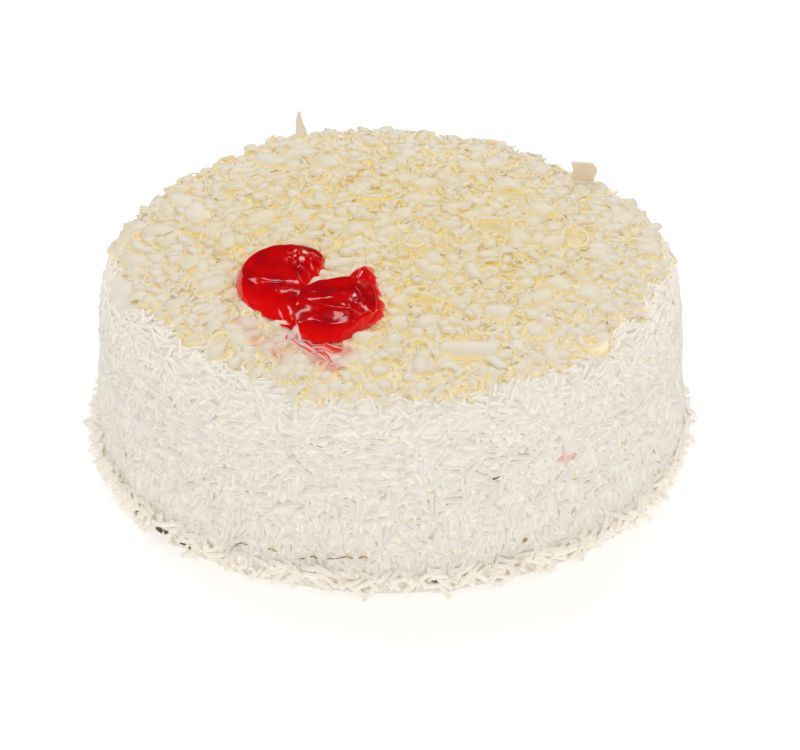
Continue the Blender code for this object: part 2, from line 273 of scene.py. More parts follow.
def mix_colour(tree, factor, first, second):
    """Adds a colour mix. Each argument is a socket to link or a plain value."""
    mix = tree.nodes.new("ShaderNodeMix")
    mix.data_type = "RGBA"
    sockets = (mix.inputs[0], mix.inputs[6], mix.inputs[7])
    for socket, value in zip(sockets, (factor, first, second)):
        if isinstance(value, bpy.types.NodeSocket):
            tree.links.new(value, socket)
        else:
            socket.default_value = value
    return mix.outputs[2]


def map_range(tree, value, low, high, to_low=0.0, to_high=1.0):
    """Adds a clamped map from one range to another."""
    node = tree.nodes.new("ShaderNodeMapRange")
    tree.links.new(value, node.inputs["Value"])
    node.inputs["From Min"].default_value = low
    node.inputs["From Max"].default_value = high
    node.inputs["To Min"].default_value = to_low
    node.inputs["To Max"].default_value = to_high
    return node.outputs["Result"]


def make_painted_hollow_light_and_shade():
    """Colour = own colour, moved to the painted hollow colour where the depth passes the start and on to the
    end.
    This paints the shade and bounced light of hollows, and on the emission it paints their glow.
    """
    group, start, end = new_group(
        "painted hollow light and shade",
        (("Color", "NodeSocketColor"), ("Hollow Color", "NodeSocketColor"), ("Depth", "NodeSocketFloat"),
         ("Start", "NodeSocketFloat"), ("End", "NodeSocketFloat")),
        (("Color", "NodeSocketColor"),))
    node = group.nodes.new("ShaderNodeMapRange")
    node.interpolation_type = "SMOOTHSTEP"
    group.links.new(start.outputs["Depth"], node.inputs["Value"])
    group.links.new(start.outputs["Start"], node.inputs["From Min"])
    group.links.new(start.outputs["End"], node.inputs["From Max"])
    tinted = mix_colour(group, node.outputs["Result"], start.outputs["Color"], start.outputs["Hollow Color"])
    group.links.new(tinted, end.inputs["Color"])
    return group


def make_mottle():
    """Colour = own colour, times a soft noise that swings by the amount to both sides of 1."""
    group, start, end = new_group(
        "mottle",
        (("Color", "NodeSocketColor"), ("Vector", "NodeSocketVector"), ("Scale", "NodeSocketFloat"),
         ("Amount", "NodeSocketFloat")),
        (("Color", "NodeSocketColor"), ("Noise", "NodeSocketFloat")))
    noise = group.nodes.new("ShaderNodeTexNoise")
    noise.inputs["Detail"].default_value = 3.0
    group.links.new(start.outputs["Vector"], noise.inputs["Vector"])
    group.links.new(start.outputs["Scale"], noise.inputs["Scale"])
    centred = group.nodes.new("ShaderNodeMath")
    centred.operation = "SUBTRACT"
    group.links.new(noise.outputs["Fac"], centred.inputs[0])
    centred.inputs[1].default_value = 0.5
    swing = group.nodes.new("ShaderNodeMath")
    swing.operation = "MULTIPLY_ADD"
    group.links.new(centred.outputs[0], swing.inputs[0])
    group.links.new(start.outputs["Amount"], swing.inputs[1])
    swing.inputs[2].default_value = 1.0
    scaled = group.nodes.new("ShaderNodeVectorMath")
    scaled.operation = "SCALE"
    group.links.new(start.outputs["Color"], scaled.inputs[0])
    group.links.new(swing.outputs[0], scaled.inputs["Scale"])
    group.links.new(scaled.outputs["Vector"], end.inputs["Color"])
    group.links.new(noise.outputs["Fac"], end.inputs["Noise"])
    return group


PAINTED_HOLLOW_LIGHT_AND_SHADE = make_painted_hollow_light_and_shade()
MOTTLE = make_mottle()
print("groups", PAINTED_HOLLOW_LIGHT_AND_SHADE.name, "and", MOTTLE.name)

# %% [markdown]
# Whipped cream and white chocolate let light a little way in and scatter it, so their hollows glow warm instead
# of turning dark. The Principled shader's subsurface could do that, but where thousands of closed pieces
# overlap it loses light at every inner wall and turns the heap dark and spotty. So that light is painted on:
# the hollows get a painted colour that gives back nearly all the red that falls on it, and the deepest ones a
# faint painted glow of their own for the light that has come through the pieces round them. The chocolate's
# painted hollows are more yellow than the cream's, for the light that bounces there from piece to piece and
# picks up its colour.

# %% Materials of cream, strands and shavings
# The hollow colours and glows below are painted light and shade, which each point's depth lays on.
CREAM_COLOUR = (0.84, 0.80, 0.74, 1.0)
CREAM_PAINTED_HOLLOW = (1.0, 0.95, 0.86, 1.0)
STRAND_COLOUR = (0.87, 0.83, 0.765, 1.0)
STRAND_PALE = (0.90, 0.87, 0.82, 1.0)
STRAND_PAINTED_HOLLOW = (1.0, 0.95, 0.87, 1.0)
SHAVING_COLOUR = (0.915, 0.805, 0.58, 1.0)
SHAVING_PALE = (0.92, 0.84, 0.705, 1.0)
SHAVING_PAINTED_HOLLOW = (0.87, 0.72, 0.34, 1.0)
SHAVING_PALE_PAINTED_HOLLOW = (0.91, 0.81, 0.58, 1.0)
STAIN_COLOUR = (0.85, 0.30, 0.26, 1.0)
NO_GLOW = (0.0, 0.0, 0.0, 1.0)
CREAM_PAINTED_GLOW = (0.08, 0.073, 0.06, 1.0)
SHAVING_PAINTED_GLOW = (0.15, 0.117, 0.042, 1.0)
PAINTED_GLOW_RANGE = (0.3, 0.9)


def new_material(name):
    material = bpy.data.materials.new(name)
    material.use_nodes = True
    tree = material.node_tree
    shader = tree.nodes["Principled BSDF"]
    return material, tree, shader


def read_attribute(tree, name):
    node = tree.nodes.new("ShaderNodeAttribute")
    node.attribute_name = name
    return node.outputs["Fac"]


def object_place(tree):
    return tree.nodes.new("ShaderNodeTexCoord").outputs["Object"]


def add_group(tree, group, **inputs):
    """Places a shared group. Underscores in the input names stand for spaces."""
    node = tree.nodes.new("ShaderNodeGroup")
    node.node_tree = group
    for label, value in inputs.items():
        socket = node.inputs[label.replace("_", " ")]
        if isinstance(value, bpy.types.NodeSocket):
            tree.links.new(value, socket)
        else:
            socket.default_value = value
    return node


def add_bump(tree, shader, height, strength, distance):
    bump = tree.nodes.new("ShaderNodeBump")
    bump.inputs["Strength"].default_value = strength
    bump.inputs["Distance"].default_value = distance
    tree.links.new(height, bump.inputs["Height"])
    tree.links.new(bump.outputs["Normal"], shader.inputs["Normal"])


def food_material(name, colours, hollows, painted_glow, depth_range, mottle_scale, roughness, bump):
    """Both colours go from the first to the second by each piece's tone. The own colour is mottled, turned to
    the painted hollow colour by depth, which paints the shade and bounced light of hollows, and stained by the
    jelly. The deepest places also get a painted glow. The bump is its scale, strength and distance."""
    material, tree, shader = new_material(name)
    place = object_place(tree)
    depth, tone = read_attribute(tree, "depth"), read_attribute(tree, "tone")
    own = mix_colour(tree, tone, *colours)
    mottled = add_group(tree, MOTTLE, Color=own, Vector=place, Scale=mottle_scale, Amount=0.10)
    tinted = add_group(tree, PAINTED_HOLLOW_LIGHT_AND_SHADE, Color=mottled.outputs["Color"],
                       Hollow_Color=mix_colour(tree, tone, *hollows), Depth=depth, Start=depth_range[0],
                       End=depth_range[1])
    stained = mix_colour(tree, read_attribute(tree, "stain"), tinted.outputs["Color"], STAIN_COLOUR)
    tree.links.new(stained, shader.inputs["Base Color"])
    # Painted glow of the deepest hollows, given as emission.
    painted_glowing = add_group(tree, PAINTED_HOLLOW_LIGHT_AND_SHADE, Color=NO_GLOW, Hollow_Color=painted_glow, Depth=depth,
                        Start=PAINTED_GLOW_RANGE[0], End=PAINTED_GLOW_RANGE[1])
    tree.links.new(painted_glowing.outputs["Color"], shader.inputs["Emission Color"])
    shader.inputs["Emission Strength"].default_value = 1.0
    material.cycles.emission_sampling = "NONE"
    fine = tree.nodes.new("ShaderNodeTexNoise")
    fine.inputs["Scale"].default_value = bump[0]
    fine.inputs["Detail"].default_value = 4.0
    tree.links.new(place, fine.inputs["Vector"])
    add_bump(tree, shader, fine.outputs["Fac"], bump[1], bump[2])
    tree.links.new(map_range(tree, mottled.outputs["Noise"], 0.3, 0.7, roughness[0], roughness[1]),
                   shader.inputs["Roughness"])
    shader.inputs["Specular IOR Level"].default_value = 0.35
    return material


CREAM = food_material("cream", (CREAM_COLOUR, SHAVING_COLOUR), (CREAM_PAINTED_HOLLOW, SHAVING_PAINTED_HOLLOW), CREAM_PAINTED_GLOW,
                      depth_range=(0.0, 1.0), mottle_scale=90.0, roughness=(0.60, 0.75),
                      bump=(900.0, 0.35, 0.3 * MM))
STRANDS = food_material("white_strands", (STRAND_COLOUR, STRAND_PALE), (STRAND_PAINTED_HOLLOW, CREAM_PAINTED_HOLLOW),
                        CREAM_PAINTED_GLOW, depth_range=(0.05, 0.65), mottle_scale=150.0, roughness=(0.42, 0.58),
                        bump=(1400.0, 0.3, 0.15 * MM))
SHAVINGS = food_material("white_shavings", (SHAVING_COLOUR, SHAVING_PALE), (SHAVING_PAINTED_HOLLOW, SHAVING_PALE_PAINTED_HOLLOW),
                         SHAVING_PAINTED_GLOW, depth_range=(0.15, 0.80), mottle_scale=160.0, roughness=(0.42, 0.58),
                         bump=(700.0, 0.3, 0.25 * MM))
print("materials", CREAM.name, STRANDS.name, SHAVINGS.name)

# %% [markdown]
# The cream was spread with a palette knife: the wall leans in by nearly six degrees, swells in long shallow
# waves and rolls over a round shoulder onto a nearly level top. It could be a turned profile with a modifier,
# but one function that says where the skin lies is better here, because the strands are laid with the same
# function. It takes the angle round the cake and the length along the skin, up from the foot, round the
# shoulder and in over the top, and gives a point that stands off the skin by a wanted lift.

# %% The cream's skin
FOOT_RADIUS = 104.2 * MM
WALL_TOP_RADIUS = 98.5 * MM
WALL_TOP = 56.5 * MM
WALL_LEAN = (FOOT_RADIUS - WALL_TOP_RADIUS) / WALL_TOP
SHOULDER = 8.5 * MM
CROWN_RADIUS = WALL_TOP_RADIUS - SHOULDER
CROWN_RISE = 1.5 * MM
WAVE_DEPTH = 0.6 * MM
WAVES = ((0.5, 3, 0.0, 0.8), (0.3, 5, 60.0, 0.0), (0.2, 11, -90.0, 0.0))
WALL_LENGTH = math.hypot(WALL_TOP, FOOT_RADIUS - WALL_TOP_RADIUS)
ARC_LENGTH = SHOULDER * math.pi / 2.0
LEAN_ANGLE = math.atan(WALL_LEAN)


def knife_waves(angle, height):
    """Sum of sines round the cake: each has its share of the depth, turns, climb with height and phase."""
    total = 0.0
    for share, turns, climb, phase in WAVES:
        total = total + share * np.sin(turns * angle + climb * height + phase)
    return WAVE_DEPTH * total


def cream_skin(angle, along, lift=0.0):
    """Points on the cream. Up to the wall's top the height grows with `along`, then a quarter circle of the
    shoulder's radius turns the skin level, then the radius shrinks to nothing over a slightly domed top. The
    lift goes along the skin's normal."""
    height = np.clip(along / WALL_LENGTH, 0.0, 1.0) * WALL_TOP
    turn = np.clip((along - WALL_LENGTH) / ARC_LENGTH, 0.0, 1.0) * math.pi / 2.0
    inward = np.maximum(along - WALL_LENGTH - ARC_LENGTH, 0.0)
    fading = 1.0 - smooth_step(inward / CROWN_RADIUS)
    radius = WALL_TOP_RADIUS + WALL_LEAN * (WALL_TOP - height) + knife_waves(angle, height) * fading
    radius = np.maximum(radius - SHOULDER * (1.0 - np.cos(turn)) - inward, 0.0)
    dome = CROWN_RISE * np.maximum(1.0 - (radius / CROWN_RADIUS) ** 2, 0.0)
    level = height + SHOULDER * np.sin(turn) + np.where(turn > 0.0, dome, 0.0)
    facing = turn + LEAN_ANGLE * np.cos(turn)
    radius = radius + lift * np.cos(facing)
    return np.stack((radius * np.cos(angle), radius * np.sin(angle), level + lift * np.sin(facing)), axis=-1)


def skin_radius(along):
    """The skin's distance from the cake's axis, without the waves."""
    height = np.clip(along / WALL_LENGTH, 0.0, 1.0) * WALL_TOP
    turn = np.clip((along - WALL_LENGTH) / ARC_LENGTH, 0.0, 1.0) * math.pi / 2.0
    inward = np.maximum(along - WALL_LENGTH - ARC_LENGTH, 0.0)
    return WALL_TOP_RADIUS + WALL_LEAN * (WALL_TOP - height) - SHOULDER * (1.0 - np.cos(turn)) - inward


print("skin length", round((WALL_LENGTH + ARC_LENGTH + CROWN_RADIUS) / MM, 1), "mm from foot to middle")

# %% [markdown]
# Spread cream isn't smooth: it has lumps a few centimetres long and finer dimples. At one place low on the left
# a thick dab has swallowed the strands, over the left rim lies a soft veil of cream with few strands, half sunk
# in it, and low on the front the cream has cracked. All of these are added to the skin as a lift. The body is a
# grid round the cake, closed by one point in the middle of the top and one in the middle of the underside.

# %% Cream body
BODY_TURN = 560
BODY_RISE = 130
DAB_ANGLE = math.radians(-130.4)
DAB_ALONG = 18.5 * MM
DAB_HALF = (8.5 * MM, 6.0 * MM)
DAB_LIFT = 1.5 * MM
VEIL_ANGLE = math.radians(195)
VEIL_ALONG = WALL_LENGTH + ARC_LENGTH
VEIL_HALF = (17.0 * MM, 8.5 * MM)
VEIL_LIFT = 1.4 * MM
VEIL_SINKS = 1.0 * MM
# Cracks in the cream low on the wall: angle in degrees and height in millimetres of each corner.
CRACKS = (
    ((-118.4, 9.4), (-117.4, 11.4), (-116.6, 11.9), (-115.6, 11.7)),
    ((-112.2, 12.0), (-111.1, 12.5), (-109.8, 12.0)),
    ((-105.9, 10.9), (-104.8, 11.3)),
    ((-103.9, 12.2), (-103.3, 12.6), (-102.6, 12.0)),
    ((-100.9, 12.3), (-98.9, 12.9), (-97.3, 13.9), (-96.3, 13.2)),
    ((-95.3, 13.5), (-94.5, 14.3), (-93.7, 13.8)),
)
CRACK_HALF = 0.8 * MM
CRACK_DEEP = 0.8 * MM
FOOT_FADE = 3.0 * MM
BETWEEN_STRANDS = 0.45 * MM


def patch_share(angle, along, middle_angle, middle_along, half):
    """1 in the middle of an oval patch of the skin, falling to 0 at its edge."""
    across = (np.mod(angle - middle_angle + math.pi, 2.0 * math.pi) - math.pi) * FOOT_RADIUS
    reach = np.hypot(across / half[0], (along - middle_along) / half[1])
    return smooth_step(1.6 - 1.2 * reach)


def dab_share(angle, along):
    """The thick dab low on the wall."""
    return patch_share(angle, along, DAB_ANGLE, DAB_ALONG, DAB_HALF)


def veil_share(angle, along):
    """The soft veil of cream over the left rim."""
    return patch_share(angle, along, VEIL_ANGLE, VEIL_ALONG, VEIL_HALF)


def crack_share(angle, along):
    """1 on a crack, falling off as exp(-(distance / half width)^2) from its line on the unrolled wall."""
    level = np.mod(angle, 2.0 * math.pi) * FOOT_RADIUS
    place = np.stack((level, np.broadcast_to(along, np.shape(angle))), axis=-1)
    share = np.zeros(np.shape(angle))
    for crack in CRACKS:
        corners = [np.array((math.radians(turn + 360.0) * FOOT_RADIUS, height * MM)) for turn, height in crack]
        for start, end in zip(corners, corners[1:]):
            away = off_line(place - start, end - start)[1]
            share = np.maximum(share, np.exp(-(away / CRACK_HALF) ** 2))
    return share


def cream_lift(angle, along):
    """Lumps 30 mm long and 0.35 mm high, dimples 7 mm long and 0.12 mm deep, the dab, the veil with its own
    soft folds, and the cracks."""
    places = np.stack((np.cos(angle) * FOOT_RADIUS, np.sin(angle) * FOOT_RADIUS, along), axis=-1)
    relief = 0.35 * MM * ripples(places, 30 * MM, 11) + 0.12 * MM * ripples(places, 7 * MM, 12)
    folds = VEIL_LIFT * (1.0 + 0.5 * ripples(places * np.array((1.0, 0.45, 1.0)), 5 * MM, 13))
    relief = relief + DAB_LIFT * dab_share(angle, along) + folds * veil_share(angle, along)
    return relief - CRACK_DEEP * crack_share(angle, along)


def cream_between(along):
    """The cream swells up between the strands that are pressed into it."""
    return BETWEEN_STRANDS * smooth_step(along / FOOT_FADE)


def make_cream_body():
    """Rings of the skin from the foot to nearly the middle of the top, moved out by the lift, which fades out
    over the lowest few millimetres so that the foot stays level."""
    turns = np.linspace(0.0, 2.0 * math.pi, BODY_TURN, endpoint=False)
    full = WALL_LENGTH + ARC_LENGTH + CROWN_RADIUS
    along, angle = np.meshgrid(np.linspace(0.0, full * 0.995, BODY_RISE), turns, indexing="ij")
    lift = cream_lift(angle, along) * smooth_step(along / FOOT_FADE) + cream_between(along)
    rings = cream_skin(angle, along, lift).reshape(-1, 3)
    rings[:BODY_TURN, 2] = 0.0
    top = cream_skin(0.0, full)
    points = np.vstack((rings, top[None], (0.0, 0.0, 0.0)))
    veil = np.append(veil_share(angle, along).ravel(), (0.0, 0.0))
    crack = np.append(crack_share(angle, along).ravel(), (0.0, 0.0))
    # Each point of the cream gets a faint painted glow from its depth of about 0.45. The cracks get painted
    # shade: more depth and tone turn the cream warmer and more golden there, with more of the painted glow.
    depth = 0.45 + 0.3 * crack + 0.1 * ripples(points, 6 * MM, 14)
    return make_piece("cream_body", points, closed_rings(BODY_RISE, BODY_TURN), CREAM, math.radians(60),
                      depth=np.clip(depth, 0.0, 1.0), tone=np.maximum(0.2 * veil, 0.5 * crack),
                      stain=np.zeros(len(points)))


cream_body = make_cream_body()
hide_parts("cake")

# %% [markdown]
# The strands are short extruded rods of white chocolate, 1.6 to 2 mm thick and 4 to 9.6 mm long, pressed onto
# the cream by hand. Nothing overlaps by accident on the real cake, because each new strand comes to rest on
# those below. The same is done here on a flat map of the skin: a grid holds how high the coating stands in each
# cell. Each strand tries a few places, takes the one that is covered least, rests on what the grid says is
# there, and raises the grid by its own thickness. Low on the wall the strands stand more upright, and near the
# shoulder they lie level and are a little smaller.

# %% Laying strands on a height map
STRAND_THICK = (0.78 * MM, 0.98 * MM)
STRAND_LONG = (3.8 * MM, 9.6 * MM)
PRESSED = 0.36
CELL = 0.45 * MM
MAP_RADIUS = 103.0 * MM
TRIES = 7
RESTS_ON = 0.7
HALVES_APART = 0.55


def strand_sizes(draw, count):
    """Half thickness and length of each strand: most are 5 to 8 mm long, a few are broken short."""
    half = draw.uniform(*STRAND_THICK, count)
    length = np.clip(draw.normal(6.8 * MM, 1.5 * MM, count), *STRAND_LONG)
    return half, length


def footprint(slant, length, half):
    """Places under a strand: 17 along it and 5 across it, as offsets along the two axes of the map."""
    along, across = np.meshgrid(np.linspace(-0.5, 0.5, 17), np.linspace(-0.9, 0.9, 5), indexing="ij")
    run = along.ravel() * length
    side = across.ravel() * half
    first = np.cos(slant)[:, None] * run - np.sin(slant)[:, None] * side
    second = np.sin(slant)[:, None] * run + np.cos(slant)[:, None] * side
    return first, second, along.ravel(), across.ravel()


def lay_strands(draw, count, cover, pick_spots, to_cells, press, steepest=0.35):
    """Lays strands one after another on the cover grid. Each half rests on a height that 70 percent of the
    ground under it stays below. Returns the strands' spots, slants, heights of the axis at both ends, lengths
    and half thicknesses."""
    half, length = strand_sizes(draw, count)
    laid = np.zeros((count, 7))
    for number in range(count):
        first, second, slant = pick_spots(draw, TRIES)
        to_first, to_second, along, across = footprint(slant, length[number], half[number])
        cells = to_cells(first[:, None], to_first, second[:, None] + to_second)
        under = cover[cells]
        best = int(np.argmin(under.mean(axis=1)))
        ground = under[best]
        low_end = np.quantile(ground[along < -0.1], RESTS_ON)
        high_end = np.quantile(ground[along > 0.1], RESTS_ON)
        slope = np.clip((high_end - low_end) / (HALVES_APART * length[number]), -steepest, steepest)
        middle = 0.5 * (low_end + high_end) + half[number] * (1.0 - press(draw, ground.mean()))
        axis = middle + slope * along * length[number]
        top = axis + half[number] * np.sqrt(1.0 - np.minimum(across ** 2, 1.0))
        spot = tuple(index[best] for index in cells)
        np.maximum.at(cover, spot, top)
        reach = 0.5 * slope * length[number]
        laid[number] = (first[best], second[best], slant[best], middle - reach, middle + reach,
                        length[number], half[number])
    return laid


print("one cell of the map is", CELL / MM, "mm")

# %% [markdown]
# Each strand becomes a six-sided rod: three rings of points, bent a little at the middle ring, and two flat cut
# ends. The rings are set on the map first and carried onto the cream by the skin function, so a strand that
# crosses the shoulder bends over it.

# %% From laid strands to rods
SIDES = 6
RING_TURNS = np.arange(SIDES) * 2.0 * math.pi / SIDES
RING_SHARES = (-0.5, 0.0, 0.5)
BEND = 0.035


def ring_places(draw, second, slant, length):
    """The steps round the cake and the places in the map's other direction of each strand's rings: its run from
    end to end, moved sideways at the middle ring by a drawn few hundredths of its length."""
    shares = np.array(RING_SHARES)
    run = shares * length[:, None]
    bend = draw.normal(0.0, BEND, len(length)) * length
    side = bend[:, None] * (1.0 - (2.0 * shares) ** 2)
    first = run * np.cos(slant)[:, None] - side * np.sin(slant)[:, None]
    return first, second[:, None] + run * np.sin(slant)[:, None] + side * np.cos(slant)[:, None]


def ring_heights(low, high):
    """Heights of each strand's rings, in even steps from one end of its axis to the other."""
    return low[:, None] + (high - low)[:, None] * (np.array(RING_SHARES) + 0.5)


def rod_faces():
    """Side quads between the rings, and a six-cornered face at each cut end."""
    sides = grid_faces(len(RING_SHARES), SIDES, wrap=True)[:, ::-1]
    ends = np.stack((np.arange(SIDES), (len(RING_SHARES) - 1) * SIDES + np.arange(SIDES)[::-1]))
    return sides, ends


def rod_points(centres, half):
    """Rings of six points round each strand's centres, square to its run from end to end."""
    run = centres[:, -1] - centres[:, 0]
    run /= np.linalg.norm(run, axis=1, keepdims=True)
    outward = centres[:, 1] * np.array((1.0, 1.0, 0.0))
    across = np.cross(run, outward)
    across /= np.linalg.norm(across, axis=1, keepdims=True)
    rising = np.cross(across, run)
    ring = across[:, None] * np.cos(RING_TURNS)[:, None] + rising[:, None] * np.sin(RING_TURNS)[:, None]
    taper = np.array((0.93, 1.0, 0.93))[None, :, None, None]
    return centres[:, :, None] + ring[:, None] * half[:, None, None, None] * taper


def make_rods(name, centres, half, depth, tone, stain):
    """All strands of one kind as one mesh."""
    count = len(centres)
    points = rod_points(centres, half).reshape(-1, 3)
    each = len(RING_SHARES) * SIDES
    sides, ends = rod_faces()
    faces = [repeated(sides, count, each), repeated(ends, count, each)]
    return make_piece(name, points, faces, STRANDS, math.radians(62), depth=depth,
                      tone=np.repeat(tone, each), stain=np.repeat(stain, each))


print("a strand has", 2 * (len(RING_SHARES) - 1) * SIDES + 2 * (SIDES - 2), "triangles")

# %% Wall strands
WALL_STRANDS = 6200
# A pink stain on the wall: its angle, its length along the skin and its radius.
WALL_STAIN = (math.radians(-56.0), 38.7 * MM, 1.7 * MM)
STRAND_REACH = WALL_LENGTH + ARC_LENGTH + 20.0 * MM
LOWEST_RING = 0.4 * MM
UPRIGHT_AT_FOOT = 0.78
UPRIGHT_LOST = 0.62
FINER = 0.22
SHORTER = 0.25
HEAP_RADIUS = 93.0 * MM
# Dips in the heap's edge: direction, half width in radians and depth. Below zero, the depth is a bulge.
HEAP_DIPS = (
    (math.radians(216), 0.45, 6.0 * MM),
    (math.radians(180), 0.22, -3.0 * MM),
    (math.radians(-38), 0.42, 4.0 * MM),
    (math.radians(10), 0.40, -3.2 * MM),
    (math.radians(38), 0.25, 2.0 * MM),
)
HEAP_WAVES = ((7, 1.0, 1.2 * MM), (13, 0.0, 0.8 * MM))


def heap_edge(angle):
    """The radius where the heap of shavings ends: a circle with two sine waves, less the dips and bulges, each
    of which fades as exp(-(angle away / half width)^2)."""
    radius = HEAP_RADIUS
    for turns, phase, depth in HEAP_WAVES:
        radius = radius + depth * np.sin(turns * angle + phase)
    for direction, half_width, depth in HEAP_DIPS:
        away = np.mod(angle - direction + math.pi, 2.0 * math.pi) - math.pi
        radius = radius - depth * np.exp(-(away / half_width) ** 2)
    return radius


def wall_spots(draw, tries):
    """Places on the map, from near the foot to a little way under the heap, and slants. Most of those on the
    dab or the veil are moved elsewhere on the wall. The lower a strand is, the likelier it stands upright."""
    angle = draw.uniform(0.0, 2.0 * math.pi, tries)
    top = WALL_LENGTH + ARC_LENGTH + np.maximum(CROWN_RADIUS - heap_edge(angle) + 2.5 * MM, -2.0 * MM)
    second = draw.uniform(2.6 * MM, 1.0, tries) * top
    smooth = np.maximum(dab_share(angle, second), veil_share(angle, second))
    on_cream = smooth > draw.uniform(0.15, 1.15, tries)
    second = np.where(on_cream, np.mod(second + 25.0 * MM, 45.0 * MM) + 4.0 * MM, second)
    upright = UPRIGHT_AT_FOOT - UPRIGHT_LOST * smooth_step((second - 8.0 * MM) / (46.0 * MM))
    stands = draw.uniform(size=tries) < upright
    slant = np.where(stands, draw.normal(math.pi / 2.0, 0.42, tries), draw.normal(0.0, 0.55, tries))
    return angle, second, slant


MAP_COLUMNS = int(round(2.0 * math.pi * MAP_RADIUS / CELL))
WALL_ROWS = int(STRAND_REACH / CELL) + 2


def map_column(angle):
    """Column of a map at an angle round the cake. After the last column comes the first."""
    return np.floor(np.mod(angle / (2.0 * math.pi), 1.0) * MAP_COLUMNS).astype(int) % MAP_COLUMNS


def wall_cells(angle, to_first, second):
    """Cells of the wall map. Sideways steps are turned into angles by the skin's own radius."""
    row = np.clip((second / CELL).astype(int), 0, WALL_ROWS - 1)
    return map_column(angle + to_first / skin_radius(second)), row


def press_into_cream(draw, ground):
    """Strands on bare cream are pushed in by up to half their thickness, later ones hardly."""
    return draw.uniform(0.25, 0.95) if ground < 0.5 * MM else draw.uniform(0.05, 0.35)


def make_wall_strands():
    draw = np.random.default_rng(21)
    cover = np.zeros((MAP_COLUMNS, WALL_ROWS))
    laid = lay_strands(draw, WALL_STRANDS, cover, wall_spots, wall_cells, press_into_cream)
    angle, second, slant, low, high, length, half = laid.T
    fine = smooth_step((second - 0.8 * WALL_LENGTH) / (0.35 * WALL_LENGTH))
    half, length = half * (1.0 - FINER * fine), length * (1.0 - SHORTER * fine)
    first, along = ring_places(draw, second, slant, length)
    lift = PRESSED * ring_heights(low, high)
    turned = angle[:, None] + first / skin_radius(along)
    along = np.maximum(along, LOWEST_RING)
    sunk = VEIL_SINKS * veil_share(turned, along)
    centres = cream_skin(turned, along, lift + cream_lift(turned, along) - sunk)
    centres[..., 2] = np.maximum(centres[..., 2], half[:, None])
    standing = PRESSED * cover + (1.0 - PRESSED) * MM

    def standing_near(to_first, to_second):
        return standing[wall_cells(turned, to_first, along + to_second)][..., None]

    # How closed in each point is lays on the painted hollow light and shade of the gaps between strands: a
    # paler hollow colour and a faint glow.
    depth = closed_in(standing_near, lift[..., None] + half[:, None, None] * np.sin(RING_TURNS))
    tone = draw.uniform(size=len(laid))
    away = np.linalg.norm(centres[:, 1] - cream_skin(WALL_STAIN[0], WALL_STAIN[1]), axis=1)
    stain = 0.5 * smooth_step(1.6 - away / WALL_STAIN[2])
    print("coating is", round(cover.mean() / MM, 2), "mm thick on average")
    return make_rods("wall_strands", centres, half, depth, tone, stain)


wall_strands = make_wall_strands()
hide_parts("cake")

# %% [markdown]
# Strands that didn't stick fell down and lie round the foot in a ragged pile, level and mostly along the edge,
# with a few that point outwards. The same laying works here on a map of the ground round the cake. The cake
# itself is entered as a steep bank, so strands also lean on it.

# %% Foot strands
FOOT_STRANDS = 640
FOOT_PLACES = (104.2 * MM, 106.2 * MM)
FOOT_ASTRAY = 0.2
FOOT_INNER = 103.0 * MM
FOOT_OUTER = 125.0 * MM
BANK_FOOT = 107.2 * MM
BANK_STEEPNESS = 1.5
BANK_HEIGHT = 4.0 * MM
FOOT_ROWS = int((FOOT_OUTER - FOOT_INNER) / CELL) + 2


def foot_spots(draw, tries):
    angle = draw.uniform(0.0, 2.0 * math.pi, tries)
    second = draw.uniform(*FOOT_PLACES, tries)
    astray = draw.uniform(size=tries) < FOOT_ASTRAY
    slant = np.where(astray, draw.uniform(-1.3, 1.3, tries), draw.normal(0.0, 0.38, tries))
    return angle, second, slant


def foot_cells(angle, to_first, second):
    row = np.clip(((second - FOOT_INNER) / CELL).astype(int), 0, FOOT_ROWS - 1)
    return map_column(angle + to_first / second), row


def make_foot_strands():
    draw = np.random.default_rng(33)
    radii = FOOT_INNER + (np.arange(FOOT_ROWS) + 0.5) * CELL
    bank = np.clip((BANK_FOOT - radii) * BANK_STEEPNESS, 0.0, BANK_HEIGHT)
    cover = np.tile(bank, (MAP_COLUMNS, 1))
    laid = lay_strands(draw, FOOT_STRANDS, cover, foot_spots, foot_cells, lambda draw, ground: 0.05, 0.5)
    angle, second, slant, low, high, length, half = laid.T
    first, radius = ring_places(draw, second, slant, length)
    turned = angle[:, None] + first / radius
    level = np.maximum(ring_heights(low, high), half[:, None])
    centres = np.stack((radius * np.cos(turned), radius * np.sin(turned), level), axis=-1)

    def cover_near(to_first, to_second):
        return cover[foot_cells(turned, to_first, radius + to_second)][..., None]

    # The foot's depth is raised, so its gaps get more of the painted hollow light and glow.
    depth = closed_in(cover_near, level[..., None] + half[:, None, None] * np.sin(RING_TURNS))
    depth = np.clip(1.5 * depth + 0.15, 0.0, 1.0)
    return make_rods("foot_strands", centres, half, depth, draw.uniform(size=len(laid)), np.zeros(len(laid)))


foot_strands = make_foot_strands()
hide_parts("cake")

# %% [markdown]
# Brown sponge shows as three crumbs stuck to the wall. Dark slivers of the same kind paint the shadow in the
# thin cracks low in the cream, where a little sponge shows too, and dark bits paint the shadow in the gaps
# between the strands at the left foot. Each is a small ball, drawn out along its run, pushed a little out of
# shape and half sunk in the coating. A crack is a chain of such slivers from corner to corner.

